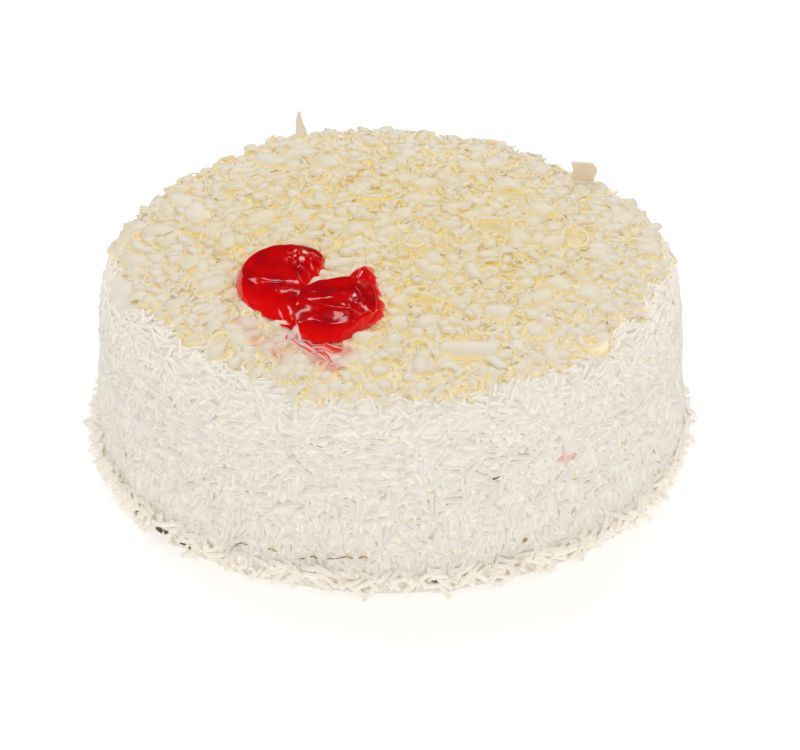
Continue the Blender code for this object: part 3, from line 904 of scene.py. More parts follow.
# %% Brown sponge and painted shadow on the wall
# For each crumb: angle in degrees, height in millimetres, slant in degrees, half length, half thickness and how
# far it stands off the cream, all three in millimetres, and how dark it is.
WALL_CRUMBS_AND_SHADOW_BITS = (
    (-70.9, 39.2, 25, 1.35, 0.45, 1.5, 1.0),
    (-82.2, 4.6, -15, 1.1, 0.4, 1.5, 1.0),
    (-65.5, 13.7, 40, 0.9, 0.5, 1.6, 0.3),
    # The last five are painted shadow: dark bits in the gaps between the strands at the left foot.
    (-142.7, 3.6, 10, 1.4, 0.6, 2.6, 0.9),
    (-135.6, 3.0, 5, 1.8, 0.7, 2.8, 1.0),
    (-133.6, 3.6, -20, 1.3, 0.6, 2.8, 0.9),
    (-129.4, 3.4, 10, 1.7, 0.55, 2.8, 1.0),
    (-127.2, 3.0, -15, 1.2, 0.5, 2.8, 0.9),
)
# A sliver in a crack paints the shadow in it: half thickness and stand-off in millimetres, darkness, and half
# length as a share of the way between two corners.
CRACK_THICK = 0.20
CRACK_LIFT = 1.6
CRACK_SHADOW_DARK = 0.6
CRACK_SPAN = 0.58
SPECK_PALE = (0.62, 0.36, 0.16, 1.0)
SPECK_DARK = (0.16, 0.09, 0.045, 1.0)
SPECK_STEPS = (12, 8)


def crack_shadow_slivers():
    """One dark sliver of painted shadow from each corner of a crack to the next, a little longer than the way
    between them.
    """
    slivers = []
    for crack in CRACKS:
        for (turn, height), (next_turn, next_height) in zip(crack, crack[1:]):
            level = math.radians(next_turn - turn) * FOOT_RADIUS / MM
            rise = next_height - height
            slivers.append((0.5 * (turn + next_turn), 0.5 * (height + next_height),
                            math.degrees(math.atan2(rise, level)), CRACK_SPAN * math.hypot(level, rise),
                            CRACK_THICK, CRACK_LIFT, CRACK_SHADOW_DARK))
    return slivers


def speck_material():
    material, tree, shader = new_material("brown_crumb_and_painted_shadow")
    own = mix_colour(tree, read_attribute(tree, "tone"), SPECK_PALE, SPECK_DARK)
    mottled = add_group(tree, MOTTLE, Color=own, Vector=object_place(tree), Scale=900.0, Amount=0.6)
    tree.links.new(mottled.outputs["Color"], shader.inputs["Base Color"])
    shader.inputs["Roughness"].default_value = 0.7
    return material


def speck_points(angle, height, slant, half_long, half_thick, lift):
    """A ball from pole to pole along its run, with its places on the wall's own directions."""
    turns, steps = SPECK_STEPS
    polar = np.linspace(0.0, math.pi, steps + 2)[1:-1, None]
    around = np.arange(turns)[None] * 2.0 * math.pi / turns
    run = np.vstack(((-1.0,), np.repeat(np.cos(polar), turns, axis=1).reshape(-1, 1), (1.0,)))[:, 0] * half_long
    side = np.concatenate(((0.0,), (np.sin(polar) * np.cos(around)).ravel(), (0.0,))) * half_thick
    out = np.concatenate(((0.0,), (np.sin(polar) * np.sin(around)).ravel(), (0.0,))) * half_thick
    points = np.stack((run, side, out), axis=-1) * MM
    points = points * (1.0 + 0.18 * ripples(points, 1.2 * MM, 51))[:, None]
    angle, slant = math.radians(angle), math.radians(slant)
    level = np.array((-math.sin(angle), math.cos(angle), 0.0))
    outward = np.array((math.cos(angle), math.sin(angle), 0.0))
    along = math.cos(slant) * level + math.sin(slant) * np.array((0.0, 0.0, 1.0))
    across = np.cross(outward, along)
    place = cream_skin(angle, height * MM, lift * MM)
    return place + points[:, :1] * along + points[:, 1:2] * across + points[:, 2:] * outward


def speck_faces():
    """Quads between the rings and triangles to both poles, all facing out."""
    turns, steps = SPECK_STEPS
    column = np.arange(turns)
    following = (column + 1) % turns
    last = 1 + (steps - 1) * turns
    pole = turns * steps + 1
    first_cap = np.stack((np.zeros(turns, int), 1 + column, 1 + following), axis=-1)
    last_cap = np.stack((np.full(turns, pole), last + following, last + column), axis=-1)
    return [1 + grid_faces(steps, turns, wrap=True)[:, ::-1], first_cap[:, ::-1], last_cap[:, ::-1]]


def make_specks():
    """All crumbs and the slivers and bits of painted shadow as one mesh. The last fact of each is how dark it
    is.
    """
    specks = list(WALL_CRUMBS_AND_SHADOW_BITS) + crack_shadow_slivers()
    points = np.vstack([speck_points(*facts[:-1]) for facts in specks])
    each = len(points) // len(specks)
    faces = [repeated(group, len(specks), each) for group in speck_faces()]
    tone = np.repeat([facts[-1] for facts in specks], each)
    piece = make_piece("brown_sponge_and_painted_shadow", points, faces, speck_material(), tone=tone)
    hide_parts("cake")


make_specks()

# %% [markdown]
# The heap of shavings is 5.6 mm deep in the middle and thins to an uneven edge. Its form is set by how high
# the finished heap stands at each place. A lumpy core a little lower is the ground for the dropped shavings.

# %% Core of the heap
GAP = 0.3 * MM
HEAP_EDGE = 1.5 * MM
HEAP_BACK = 4.2 * MM
HEAP_BACK_ANGLE = math.radians(108)
HEAP_BACK_WIDTH = 0.72
HEAP_MIDDLE = 5.6 * MM
CORE_BELOW = 1.5 * MM


def cream_top(radius):
    """Height of the cream's top: the dome inside the crown, and the round shoulder past it."""
    dome = CROWN_RISE * np.maximum(1.0 - (radius / CROWN_RADIUS) ** 2, 0.0)
    past = np.clip(radius - CROWN_RADIUS, 0.0, SHOULDER)
    return WALL_TOP + np.sqrt(np.maximum(SHOULDER ** 2 - past ** 2, 0.0)) + dome


def heap_top(x, y):
    """Mean height of the finished heap: the cream, plus a thickness that falls from the middle to the edge with
    the cube of the share of the way out. The edge is thin at the front and thick at the back."""
    radius, angle = np.hypot(x, y), np.arctan2(y, x)
    share = np.clip(radius / heap_edge(angle), 0.0, 1.0)
    edge = HEAP_EDGE + HEAP_BACK * np.exp(-((angle - HEAP_BACK_ANGLE) / HEAP_BACK_WIDTH) ** 2)
    thick = edge + (HEAP_MIDDLE - edge) * (1.0 - share ** 3)
    return cream_top(radius) + GAP + thick


def core_top(x, y):
    """The core stays below the finished heap and swells in lumps of shaving size."""
    places = np.stack((x, y), axis=-1)
    lumps = 0.7 * MM * ripples(places, 9 * MM, 41) + 0.4 * MM * ripples(places, 4 * MM, 42)
    radius = np.hypot(x, y)
    return np.maximum(heap_top(x, y) - CORE_BELOW + lumps, cream_top(radius) + 0.25 * MM)


print("core lies", CORE_BELOW / MM, "mm under the finished heap")

# %% [markdown]
# A blade drawn over a block of white chocolate lifts thin plates that curl up as they come off. Each shaving is
# worked out as a curved sheet: one parameter runs round the curl and one across its width, with drawn values
# for radius, sweep, outline, taper, slant and ruffled edges. The sheet gets a skin on both sides that meets in
# a thin rim, so every shaving is closed and soft-edged with few faces.

# %% Shapes of the shavings
def pillow_faces(rows, columns):
    """Two grids, one over the other, that share their rim. The under side's inner points come last."""
    over = np.arange(rows * columns).reshape(rows, columns)
    under = over.copy()
    inner = (rows - 2) * (columns - 2)
    under[1:-1, 1:-1] = rows * columns + np.arange(inner).reshape(rows - 2, columns - 2)

    def quads(grid):
        corners = (grid[:-1, :-1], grid[1:, :-1], grid[1:, 1:], grid[:-1, 1:])
        return np.stack(corners, axis=-1).reshape(-1, 4)

    return np.vstack((quads(over), quads(under)[:, ::-1]))


def pillow_points(sheet, thick):
    """Moves the inner points of each sheet off to both sides along its normals by half the thickness."""
    along = np.gradient(sheet, axis=1)
    across = np.gradient(sheet, axis=2)
    normal = np.cross(along, across)
    normal /= np.maximum(np.linalg.norm(normal, axis=-1, keepdims=True), 1e-12)
    offset = 0.5 * thick[:, None, None, None] * normal
    over = sheet.copy()
    over[:, 1:-1, 1:-1] += offset[:, 1:-1, 1:-1]
    under = sheet[:, 1:-1, 1:-1] - offset[:, 1:-1, 1:-1]
    count = len(sheet)
    return np.concatenate((over.reshape(count, -1, 3), under.reshape(count, -1, 3)), axis=1)


def rounded(share, power):
    """A shaving's width at a share of its half length: the root of 1 - share^power, of the same power. A power
    of 2 makes an oval, and one of 6 makes a blunt strip."""
    return (1.0 - np.abs(0.98 * share) ** power) ** (1.0 / power)


def sweep_of(facts):
    """How far round each sheet curls, in radians."""
    return np.minimum(facts["length"] / facts["radius"], MOST_SWEEP)


def curled_sheets(facts, across_steps, along_steps):
    """Sheets bent round the y axis: the place at turn f is (radius sin f, side, radius cos f). The radius grows
    from one end to the other by the cone, falls to both edges by the dome and ruffles there. The outline is
    rounded, narrows towards one end by the taper and moves sideways by the slant, which winds a long sheet up
    like a spring. Each fact is an array with one value for each piece."""
    run = np.asarray(along_steps, dtype=float)[None, :, None]
    side = np.asarray(across_steps, dtype=float)[None, None, :]
    fact = {name: np.asarray(values, dtype=float)[:, None, None] for name, values in facts.items()}
    wave = np.sin(4.0 * run + fact["phase"])
    radius = fact["radius"] * (1.0 + fact["cone"] * run) - fact["dome"] * fact["width"] * side ** 2
    radius = radius + fact["ruffle"] * wave * side * np.abs(side)
    half = 0.5 * fact["width"] * rounded(run, fact["power"]) * (1.0 + fact["taper"] * run)
    level = half * side + fact["width"] * (0.06 * wave + fact["slant"] * run)
    turn = 0.5 * sweep_of(fact) * run
    return np.stack((radius * np.sin(turn), level, radius * np.cos(turn) - fact["radius"]), axis=-1)


MOST_SWEEP = math.radians(330)
ROLL_STEPS = (-1, -0.93, -0.66, -0.33, 0.0, 0.33, 0.66, 0.93, 1)
CURL_STEPS = (-1, -0.88, -0.45, 0.0, 0.45, 0.88, 1)
FLAKE_STEPS = (-1, -0.82, 0, 0.82, 1)
# Lengths are in millimetres. The tip is how far the curl's axis stands up, as a middle and a spread, and the
# opening is the way that its open side looks, 0 for down and 180 for up, likewise, all in degrees.
KINDS = {
    "rolls": dict(count=360, along=ROLL_STEPS, across=FLAKE_STEPS, spread=0.25, late=0.58, room=(0.8, 2.6),
                  tip=(0, 20), opening=(0, 100), width=(5.0, 9.0), length=(12.0, 18.0), radius=(2.2, 3.4),
                  thick=(1.0, 1.4), power=(3.5, 7.0), dome=(0.0, 0.12), ruffle=(0.0, 0.4), slant=(-0.25, 0.25)),
    "curls": dict(count=560, along=ROLL_STEPS, across=FLAKE_STEPS, spread=0.25, late=0.52, room=(0.6, 2.4),
                  tip=(0, 18), opening=(0, 40), width=(4.5, 8.5), length=(8.0, 13.0), radius=(2.4, 4.0),
                  thick=(0.9, 1.4), power=(3.0, 6.0), dome=(0.06, 0.22), ruffle=(0.1, 0.5), slant=(-0.2, 0.2)),
    "cups": dict(count=130, along=CURL_STEPS, across=FLAKE_STEPS, spread=0.22, late=0.60, room=(0.6, 2.2),
                 tip=(0, 25), opening=(180, 40), width=(4.0, 8.0), length=(8.0, 14.0), radius=(2.8, 4.6),
                 thick=(0.7, 1.0), power=(3.0, 7.0), dome=(0.0, 0.10), ruffle=(0.1, 0.4), slant=(-0.2, 0.2)),
    "rings": dict(count=260, along=ROLL_STEPS, across=FLAKE_STEPS, spread=0.25, late=0.64, room=(0.8, 2.6),
                  tip=(70, 30), opening=(0, 100), width=(2.2, 4.2), length=(10.0, 20.0), radius=(2.2, 4.0),
                  thick=(0.9, 1.3), power=(4.0, 7.0), dome=(0.0, 0.06), ruffle=(0.0, 0.3), slant=(-0.3, 0.3)),
    "flakes": dict(count=420, along=CURL_STEPS, across=FLAKE_STEPS, spread=0.28, late=0.36, room=(0.2, 1.6),
                   tip=(0, 18), opening=(0, 22), width=(3.4, 6.5), length=(4.5, 8.5), radius=(2.6, 5.5),
                   thick=(0.9, 1.3), power=(2.6, 5.0), dome=(0.06, 0.22), ruffle=(0.1, 0.5), slant=(-0.3, 0.3)),
    "ringlets": dict(count=1250, along=CURL_STEPS, across=(-1, 0, 1), spread=0.22, late=0.60, room=(0.2, 1.6),
                     tip=(60, 35), opening=(0, 100), width=(1.2, 2.6), length=(5.0, 10.0), radius=(1.5, 2.8),
                     thick=(0.45, 0.7), power=(2.6, 6.0), dome=(0.0, 0.1), ruffle=(0.0, 0.2),
                     slant=(-0.5, 0.5)),
    "shreds": dict(count=800, along=CURL_STEPS, across=(-1, 0, 1), spread=0.20, late=0.45, room=(0.2, 1.4),
                   tip=(0, 40), opening=(0, 40), width=(0.8, 2.0), length=(3.0, 7.5), radius=(2.6, 7.0),
                   thick=(0.45, 0.75), power=(2.0, 4.0), dome=(0.0, 0.1), ruffle=(0.0, 0.2), slant=(-0.3, 0.3)),
}


def drawn_facts(draw, kind):
    """Draws the facts of every piece of a kind. One size factor for a whole piece spreads the sizes."""
    count = kind["count"]
    size = np.exp(draw.normal(0.0, kind["spread"], count))
    facts = {name: draw.uniform(*kind[name], count) for name in ("power", "dome", "slant")}
    facts.update({name: MM * draw.uniform(*kind[name], count) for name in ("ruffle", "thick")})
    facts.update({name: MM * size * draw.uniform(*kind[name], count) for name in ("width", "length", "radius")})
    facts["cone"] = draw.uniform(-0.2, 0.2, count)
    facts["taper"] = draw.uniform(-0.45, 0.45, count)
    facts["phase"] = draw.uniform(0.0, 2.0 * math.pi, count)
    return facts


def turned_points(points, axis_angles):
    """Turns each piece by its own roll (about x), pitch (about y) and heading (about z), in that order."""
    roll, pitch, heading = axis_angles
    x, y, z = points[..., 0], points[..., 1], points[..., 2]

    def spread(angle):
        return np.cos(angle)[:, None], np.sin(angle)[:, None]

    cos, sin = spread(roll)
    y, z = cos * y - sin * z, sin * y + cos * z
    cos, sin = spread(pitch)
    x, z = cos * x + sin * z, cos * z - sin * x
    cos, sin = spread(heading)
    x, y = cos * x - sin * y, sin * x + cos * y
    return np.stack((x, y, z), axis=-1)


def resting_turns(draw, kind):
    """How each piece of a kind lies: the turn about its own axis, the tip of that axis, and any heading."""
    count = kind["count"]
    roll = np.radians(draw.normal(*kind["tip"], count))
    pitch = np.radians(draw.normal(*kind["opening"], count))
    heading = draw.uniform(0.0, 2.0 * math.pi, count)
    return roll, pitch, heading


def sheet_traits(facts, rows, columns):
    """For each point of each sheet, two shares: how far it is wrapped by its own curl, which is nothing on the
    outer side and grows with the sweep on the inner side, and whether it is on the thin rim. The first paints
    shade inside the curl and the second a highlight on the rim."""
    inner = (rows - 2) * (columns - 2)
    on_rim = np.ones((rows, columns))
    on_rim[1:-1, 1:-1] = 0.0
    inside = np.concatenate((0.3 * on_rim.ravel(), np.ones(inner)))
    wrapped = np.clip(sweep_of(facts) / math.radians(220), 0.0, 1.0)[:, None] * inside
    rim = np.tile(np.concatenate((on_rim.ravel(), np.zeros(inner))), (len(wrapped), 1))
    return wrapped, rim


def loose_kind(draw, kind):
    """Points of all pieces of one kind, turned as they will rest but not yet placed, and their traits."""
    facts = drawn_facts(draw, kind)
    points = pillow_points(curled_sheets(facts, kind["across"], kind["along"]), facts["thick"])
    points = points - points.mean(axis=1, keepdims=True)
    traits = sheet_traits(facts, len(kind["along"]), len(kind["across"]))
    return turned_points(points, resting_turns(draw, kind)), traits


print({name: kind["count"] for name, kind in KINDS.items()})

# %% [markdown]
# The blade also leaves crumbs. A crumb is a cube of 3 by 3 by 3 places without its middle, swollen to a ball
# and pushed out of shape: 26 points and 24 quads, with no poles.

# %% Shapes of the crumbs
CRUMBS = 900
CRUMB_HALF = (0.7 * MM, 1.5 * MM)


def crumb_steps():
    """The 26 places of the cube, as steps of -1, 0 or 1 along each axis."""
    steps = np.stack(np.meshgrid((-1, 0, 1), (-1, 0, 1), (-1, 0, 1), indexing="ij"), axis=-1).reshape(-1, 3)
    return steps[np.abs(steps).sum(axis=1) > 0]


def crumb_faces():
    """Four quads on each side of the cube, all facing out."""
    number = {tuple(step): index for index, step in enumerate(crumb_steps().tolist())}
    faces = []
    for axis in range(3):
        for end in (-1, 1):
            for first, second in ((-1, -1), (-1, 0), (0, -1), (0, 0)):
                corners = [(first, second), (first + 1, second), (first + 1, second + 1), (first, second + 1)]
                if (end < 0) != (axis == 1):
                    corners.reverse()
                faces.append([number[corner[:axis] + (end,) + corner[axis:]] for corner in corners])
    return np.array(faces)


def crumb_points(draw, count):
    """Ball points times a half width for each axis, which are drawn apart, with a tenth of noise on each."""
    ball = crumb_steps() / np.linalg.norm(crumb_steps(), axis=1, keepdims=True)
    halves = draw.uniform(*CRUMB_HALF, (count, 1, 1)) * draw.uniform(0.65, 1.35, (count, 1, 3))
    uneven = 1.0 + draw.normal(0.0, 0.10, (count, len(ball), 1))
    turns = draw.uniform(0.0, 2.0 * math.pi, (3, count))
    return turned_points(ball[None] * halves * uneven, turns)


print("crumbs", CRUMBS, "of", 2 * len(crumb_faces()), "triangles")

# %% [markdown]
# The shavings are dropped one after another onto a height map of the top, as the strands were. A shaving tries
# some places, takes the one where the heap is still lowest under its finished height, comes down while 70
# percent of its points stay clear of the ground, and raises the ground. The kinds are mixed, so small shreds
# lie over and under large curls.

# %% Dropping the shavings
TOP_CELL = 0.7 * MM
TOP_HALF = 104.0 * MM
TOP_CELLS = int(2 * TOP_HALF / TOP_CELL) + 1
DROP_TRIES = 8
CLEAR = 0.7
LARGE_CLEAR = 0.95
LARGE_ROOM = 1.4
LATE = {name: kind["late"] for name, kind in KINDS.items()} | {"crumbs": 0.66}
ROOM = {name: kind["room"] for name, kind in KINDS.items()} | {"crumbs": (0.2, 1.6)}


def top_cells(x, y):
    column = np.clip(((x + TOP_HALF) / TOP_CELL).astype(int), 0, TOP_CELLS - 1)
    row = np.clip(((y + TOP_HALF) / TOP_CELL).astype(int), 0, TOP_CELLS - 1)
    return column, row


def cell_centres():
    middles = -TOP_HALF + (np.arange(TOP_CELLS) + 0.5) * TOP_CELL
    return np.meshgrid(middles, middles, indexing="ij")


def drop_spots(draw, tries):
    angle = draw.uniform(0.0, 2.0 * math.pi, tries)
    reach = heap_edge(angle) - np.abs(draw.normal(0.0, 2.0 * MM, tries))
    radius = reach * np.sqrt(draw.uniform(size=tries))
    return radius * np.cos(angle), radius * np.sin(angle)


def stamp(ground, points):
    """Raises the ground under a piece, with half steps to both sides so that no cell is missed."""
    for step_x, step_y in ((0.0, 0.0), (0.5, 0.5), (-0.5, 0.5), (0.5, -0.5), (-0.5, -0.5)):
        cells = top_cells(points[:, 0] + step_x * TOP_CELL, points[:, 1] + step_y * TOP_CELL)
        np.maximum.at(ground, cells, points[:, 2] - 0.2 * MM * abs(step_x))


def drop_order(draw, kinds):
    """Name and number of every piece, in mixed order. The kinds with a higher share come later as a rule."""
    names = [(name, number) for name in kinds for number in range(len(kinds[name]))]
    late = np.concatenate([draw.normal(LATE[name], 0.22, len(kinds[name])) for name in kinds])
    return [names[index] for index in np.argsort(late)]


def settle(points, ground, finished, room, clear=CLEAR):
    """Lets one piece down until a share of its points is clear of the ground, but it stands no higher than the
    room over the finished heap. Then the ground rises to the piece."""
    cells = top_cells(points[:, 0], points[:, 1])
    needed = np.quantile(ground[cells] - points[:, 2], clear)
    points[:, 2] += min(needed, finished[cells].mean() + room - points[:, 2].max())
    stamp(ground, points)


def drop_all(draw, kinds, large, rises, taken):
    """Drops every piece onto the core, beside the places that the large ones take, and then the large ones. The
    points move in place."""
    ground_x, ground_y = cell_centres()
    finished = heap_top(ground_x, ground_y)
    ground = core_top(ground_x, ground_y)
    for name, number in drop_order(draw, kinds):
        points = kinds[name][number]
        x, y = drop_spots(draw, DROP_TRIES)
        cells = top_cells(x, y)
        hollow = finished[cells] - ground[cells] + draw.uniform(0.0, 0.8 * MM, DROP_TRIES)
        best = int(np.argmax(hollow - taken[cells]))
        points[:, 0] += x[best]
        points[:, 1] += y[best]
        settle(points, ground, finished, draw.uniform(*ROOM[name]) * MM)
    for points, rise in zip(large, rises):
        settle(points, ground, finished, LARGE_ROOM * rise, LARGE_CLEAR)
    return ground


print("map of the top has", TOP_CELLS, "by", TOP_CELLS, "cells")

# %% [markdown]
# Some shavings are large and lie in plain sight, so each is placed one by one: smooth eggs and arches, a thick
# ring at the right, an open boat, a long roll near the front, and angular plates at the left. They come from
# the same curled sheet with more steps. Their places are kept free while the small ones drop, and they come
# down last.

# %% Large shavings
LARGE_ALONG = tuple(np.sin(np.linspace(-1.0, 1.0, 17) * math.pi / 2.0))
LARGE_ACROSS = tuple(np.sin(np.linspace(-1.0, 1.0, 9) * math.pi / 2.0))
LARGE_THICK = 1.4 * MM
KEPT_FREE = 0.42
KEEP_OFF = 9.0 * MM
# For each: x and y, heading, tip of the axis, opening, width, length, radius, dome, and rise over the heap.
# Lengths are in millimetres and turns in degrees.
LARGE_SHAVINGS = (
    (14.8, -25.0, 60, 0, 0, 8.5, 12.0, 3.4, 0.22, 2.4),
    (22.7, -30.3, 20, 0, 0, 5.2, 7.5, 2.2, 0.20, 1.6),
    (22.1, -21.8, 80, 0, 0, 4.0, 6.0, 1.8, 0.20, 1.4),
    (27.1, -21.8, -30, 0, 0, 5.2, 7.5, 2.3, 0.20, 1.8),
    (27.8, 29.0, 0, 0, 0, 4.6, 7.0, 2.1, 0.22, 1.6),
    (6.3, 65.8, 30, 0, 0, 7.5, 11.0, 3.4, 0.15, 2.4),
    (25.3, -69.7, 85, 0, 20, 18.5, 18.0, 3.3, 0.02, 2.2),
    (63.9, 3.0, 0, 108, 0, 4.4, 27.0, 4.7, 0.0, 2.6),
    (42.6, 38.4, 0, 0, 0, 7.0, 18.0, 6.5, 0.02, 3.0),
    (35.2, 7.9, 84, 0, 150, 9.5, 10.0, 3.4, 0.0, 2.4),
    (55.6, -2.2, 100, 0, 0, 9.0, 13.0, 4.4, 0.12, 2.4),
    (54.0, 21.9, 40, 0, 0, 9.0, 12.0, 4.2, 0.12, 2.4),
    (44.7, -0.7, 10, 0, 0, 9.0, 13.0, 4.5, 0.12, 2.2),
    (64.9, -61.6, -35, 62, 180, 8.0, 16.0, 4.0, 0.0, 2.8),
    (46.9, -58.5, 0, 0, 0, 7.5, 11.0, 3.4, 0.15, 2.0),
    (11.9, -43.7, 70, 0, 150, 8.0, 11.0, 3.6, 0.0, 2.0),
    (-67.1, 21.1, 30, 14, 10, 10.5, 11.0, 7.0, 0.04, 2.4),
    (-62.4, 6.7, -40, -14, 0, 10.0, 12.0, 8.0, 0.04, 2.2),
    (-73.5, 33.6, 70, 10, 0, 11.5, 10.0, 8.0, 0.04, 1.8),
    (-54.4, 41.6, 0, -14, 10, 10.0, 12.0, 7.0, 0.05, 2.4),
    (-22.4, 58.2, 15, 0, 0, 9.5, 13.0, 4.6, 0.10, 2.4),
    (-26.3, 43.3, 0, 100, 0, 3.0, 18.0, 4.4, 0.0, 2.2),
    (49.1, -39.1, 120, 0, 0, 8.5, 12.0, 4.4, 0.08, 2.2),
    (56.3, -30.3, 40, 10, 0, 8.5, 11.0, 4.2, 0.08, 2.2),
    (65.9, -34.4, -20, 0, 10, 8.5, 13.0, 5.0, 0.06, 2.0),
    (35.6, -48.9, 75, 0, 0, 8.5, 11.0, 3.9, 0.10, 2.2),
    (-1.6, -28.3, 20, 0, 0, 5.0, 7.0, 3.0, 0.10, 1.4),
    (-7.6, -65.0, 60, 0, 0, 6.0, 8.0, 3.6, 0.10, 2.2),
    (-11.0, -75.0, 20, 0, 0, 5.0, 6.0, 3.4, 0.10, 1.0),
    (2.8, -55.4, 110, 0, 0, 6.5, 8.5, 3.4, 0.12, 1.6),
    (3.5, -44.0, -20, 0, 30, 7.0, 9.0, 3.6, 0.10, 1.8),
    (-66.0, -12.0, 20, -10, 0, 12.0, 12.0, 8.0, 0.04, 1.6),
    (-58.0, -28.0, 100, 0, 0, 11.0, 11.0, 6.0, 0.08, 1.6),
    (-46.0, 14.0, -30, 12, 0, 10.0, 12.0, 7.0, 0.05, 2.2),
    (-30.0, 16.0, 60, -12, 0, 9.0, 11.0, 5.5, 0.06, 2.4),
    (-12.0, 4.0, 10, 0, 0, 8.5, 12.0, 4.4, 0.10, 2.4),
    (-44.0, 62.0, 40, 0, 0, 11.0, 12.0, 5.5, 0.08, 2.2),
    (12.0, 40.0, -60, 0, 0, 9.0, 12.0, 4.6, 0.08, 2.4),
    (-6.0, 24.0, 90, 0, 160, 8.0, 11.0, 4.0, 0.0, 2.2),
    (30.0, 56.0, 100, 0, 0, 9.0, 12.0, 4.4, 0.10, 2.4),
    (8.0, -8.0, 30, 96, 0, 3.2, 15.0, 3.2, 0.0, 2.2),
)
# Two flat shavings stand on end by the far rim: x and y, turn, width at the foot and at the tip, and height.
STANDING = ((-34.5, 85.0, 12, 6.8, 0.8, 9.8), (70.5, 51.5, -5, 9.5, 8.6, 9.6))
STANDING_FOOT = 2.0 * MM
STANDING_THICK = 1.1 * MM


def large_facts(draw, width, length, radius, dome, thick, power):
    count = len(width)
    return {"width": width * MM, "length": length * MM, "radius": radius * MM, "dome": dome,
            "thick": thick, "power": power, "ruffle": draw.uniform(0.1, 0.5, count) * MM,
            "cone": draw.uniform(-0.15, 0.15, count), "taper": draw.uniform(-0.3, 0.3, count),
            "slant": draw.uniform(-0.12, 0.12, count), "phase": draw.uniform(0.0, 2.0 * math.pi, count)}


def large_shavings(draw):
    """Points and traits of the large shavings over their places, how far each may rise, and a map of the cells
    that they take, which counts against a place there, and nothing elsewhere."""
    x, y, heading, tip, opening, width, length, radius, dome, rise = np.array(LARGE_SHAVINGS).T
    count = len(x)
    power = draw.uniform(3.0, 6.0, count)
    facts = large_facts(draw, width, length, radius, dome, np.full(count, LARGE_THICK), power)
    points = pillow_points(curled_sheets(facts, LARGE_ACROSS, LARGE_ALONG), facts["thick"])
    points = turned_points(points - points.mean(axis=1, keepdims=True), np.radians((tip, opening, heading)))
    points = points + np.stack((x, y, np.zeros(count)), axis=-1)[:, None] * MM
    ground_x, ground_y = cell_centres()
    taken = np.zeros_like(ground_x)
    for place_x, place_y, reach in zip(x * MM, y * MM, KEPT_FREE * np.minimum(width, length) * MM):
        taken[np.hypot(ground_x - place_x, ground_y - place_y) < reach] = KEEP_OFF
    return points, sheet_traits(facts, len(LARGE_ALONG), len(LARGE_ACROSS)), rise * MM, taken


def standing_shavings(draw):
    """The two that stand on end: flat sheets with their run turned upwards and their feet in the heap."""
    x, y, turn, foot, tip, height = np.array(STANDING).T
    long = height + STANDING_FOOT / MM
    count = len(x)
    facts = large_facts(draw, 0.5 * (foot + tip), long, np.full(count, 22.0), np.zeros(count),
                        np.full(count, STANDING_THICK), np.full(count, 14.0))
    facts["taper"] = (tip - foot) / (tip + foot)
    facts["slant"] = np.zeros(count)
    points = pillow_points(curled_sheets(facts, LARGE_ACROSS, LARGE_ALONG), facts["thick"])
    upwards = np.radians(np.full(count, -90.0))
    points = turned_points(points, (np.zeros(count), upwards, np.radians(turn - 90.0)))
    level = heap_top(x * MM, y * MM) - STANDING_FOOT - points[..., 2].min(axis=1)
    return points + np.stack((x * MM, y * MM, level), axis=-1)[:, None]


print("large shavings", len(LARGE_SHAVINGS), "and standing ones", len(STANDING))

# %% [markdown]
# All pieces of a kind become one mesh, which stores three numbers for each point. The depth is how far it is
# closed in by the heap, by its own curl and down its own flank, and paints shade there as a golden colour, with
# a faint painted glow in the deepest places. The tone makes it paler: each piece has its own, thin rims get a
# painted highlight, and the outer part of the heap is paler too. The stain is where the jelly has run.

# %% The heap of shavings
PALE_WIDTH = 45.0 * MM
FLANK_HEIGHT = 4.0 * MM
FLANK_PAINTED_SHADE = 0.38
WRAPPED_PAINTED_SHADE = 0.6
OWN_TONE = 0.6
RIM_PAINTED_HIGHLIGHT = 0.5
OUTER_TONE = 0.8
# Red juice on the shavings beside the jelly: the two ends of each streak, its half width and its strength.
STAINS = (
    ((-48.0, -53.0), (-41.0, -62.0), 2.2, 0.50),
    ((-42.0, -62.0), (-33.0, -73.0), 2.4, 0.55),
    ((-37.0, -60.0), (-30.0, -67.0), 1.8, 0.50),
    ((-29.0, -66.0), (-18.0, -80.0), 2.6, 1.0),
    ((-22.0, -70.0), (-13.0, -72.0), 2.2, 0.95),
    ((-53.2, -40.0), (-53.0, -40.6), 0.8, 1.0),
    ((-52.9, -47.9), (-52.6, -48.4), 0.7, 0.9),
)


def rim_share(points):
    """1 at the heap's edge, falling to 0 further in."""
    radius = np.hypot(points[..., 0], points[..., 1])
    inside = heap_edge(np.arctan2(points[..., 1], points[..., 0])) - radius
    return smooth_step(1.0 - inside / PALE_WIDTH)


def juice(points):
    """How red each point is: the streak's strength, fading across it and broken up by ripples 5 mm long."""
    plan = points[..., :2]
    stain = np.zeros(plan.shape[:-1])
    for start, end, half_width, strength in STAINS:
        run = (np.array(end) - np.array(start)) * MM
        away = off_line(plan - np.array(start) * MM, run)[1]
        stain = np.maximum(stain, strength * np.exp(-(away / (half_width * MM)) ** 2))
    return np.clip(stain * (0.75 + 0.45 * ripples(plan, 5 * MM, 95)), 0.0, 1.0)


def depth_in_heap(points, ground):
    """How far each point is closed in by the heap round it."""
    x, y = points[..., 0], points[..., 1]
    return closed_in(lambda to_x, to_y: ground[top_cells(x + to_x, y + to_y)], points[..., 2])


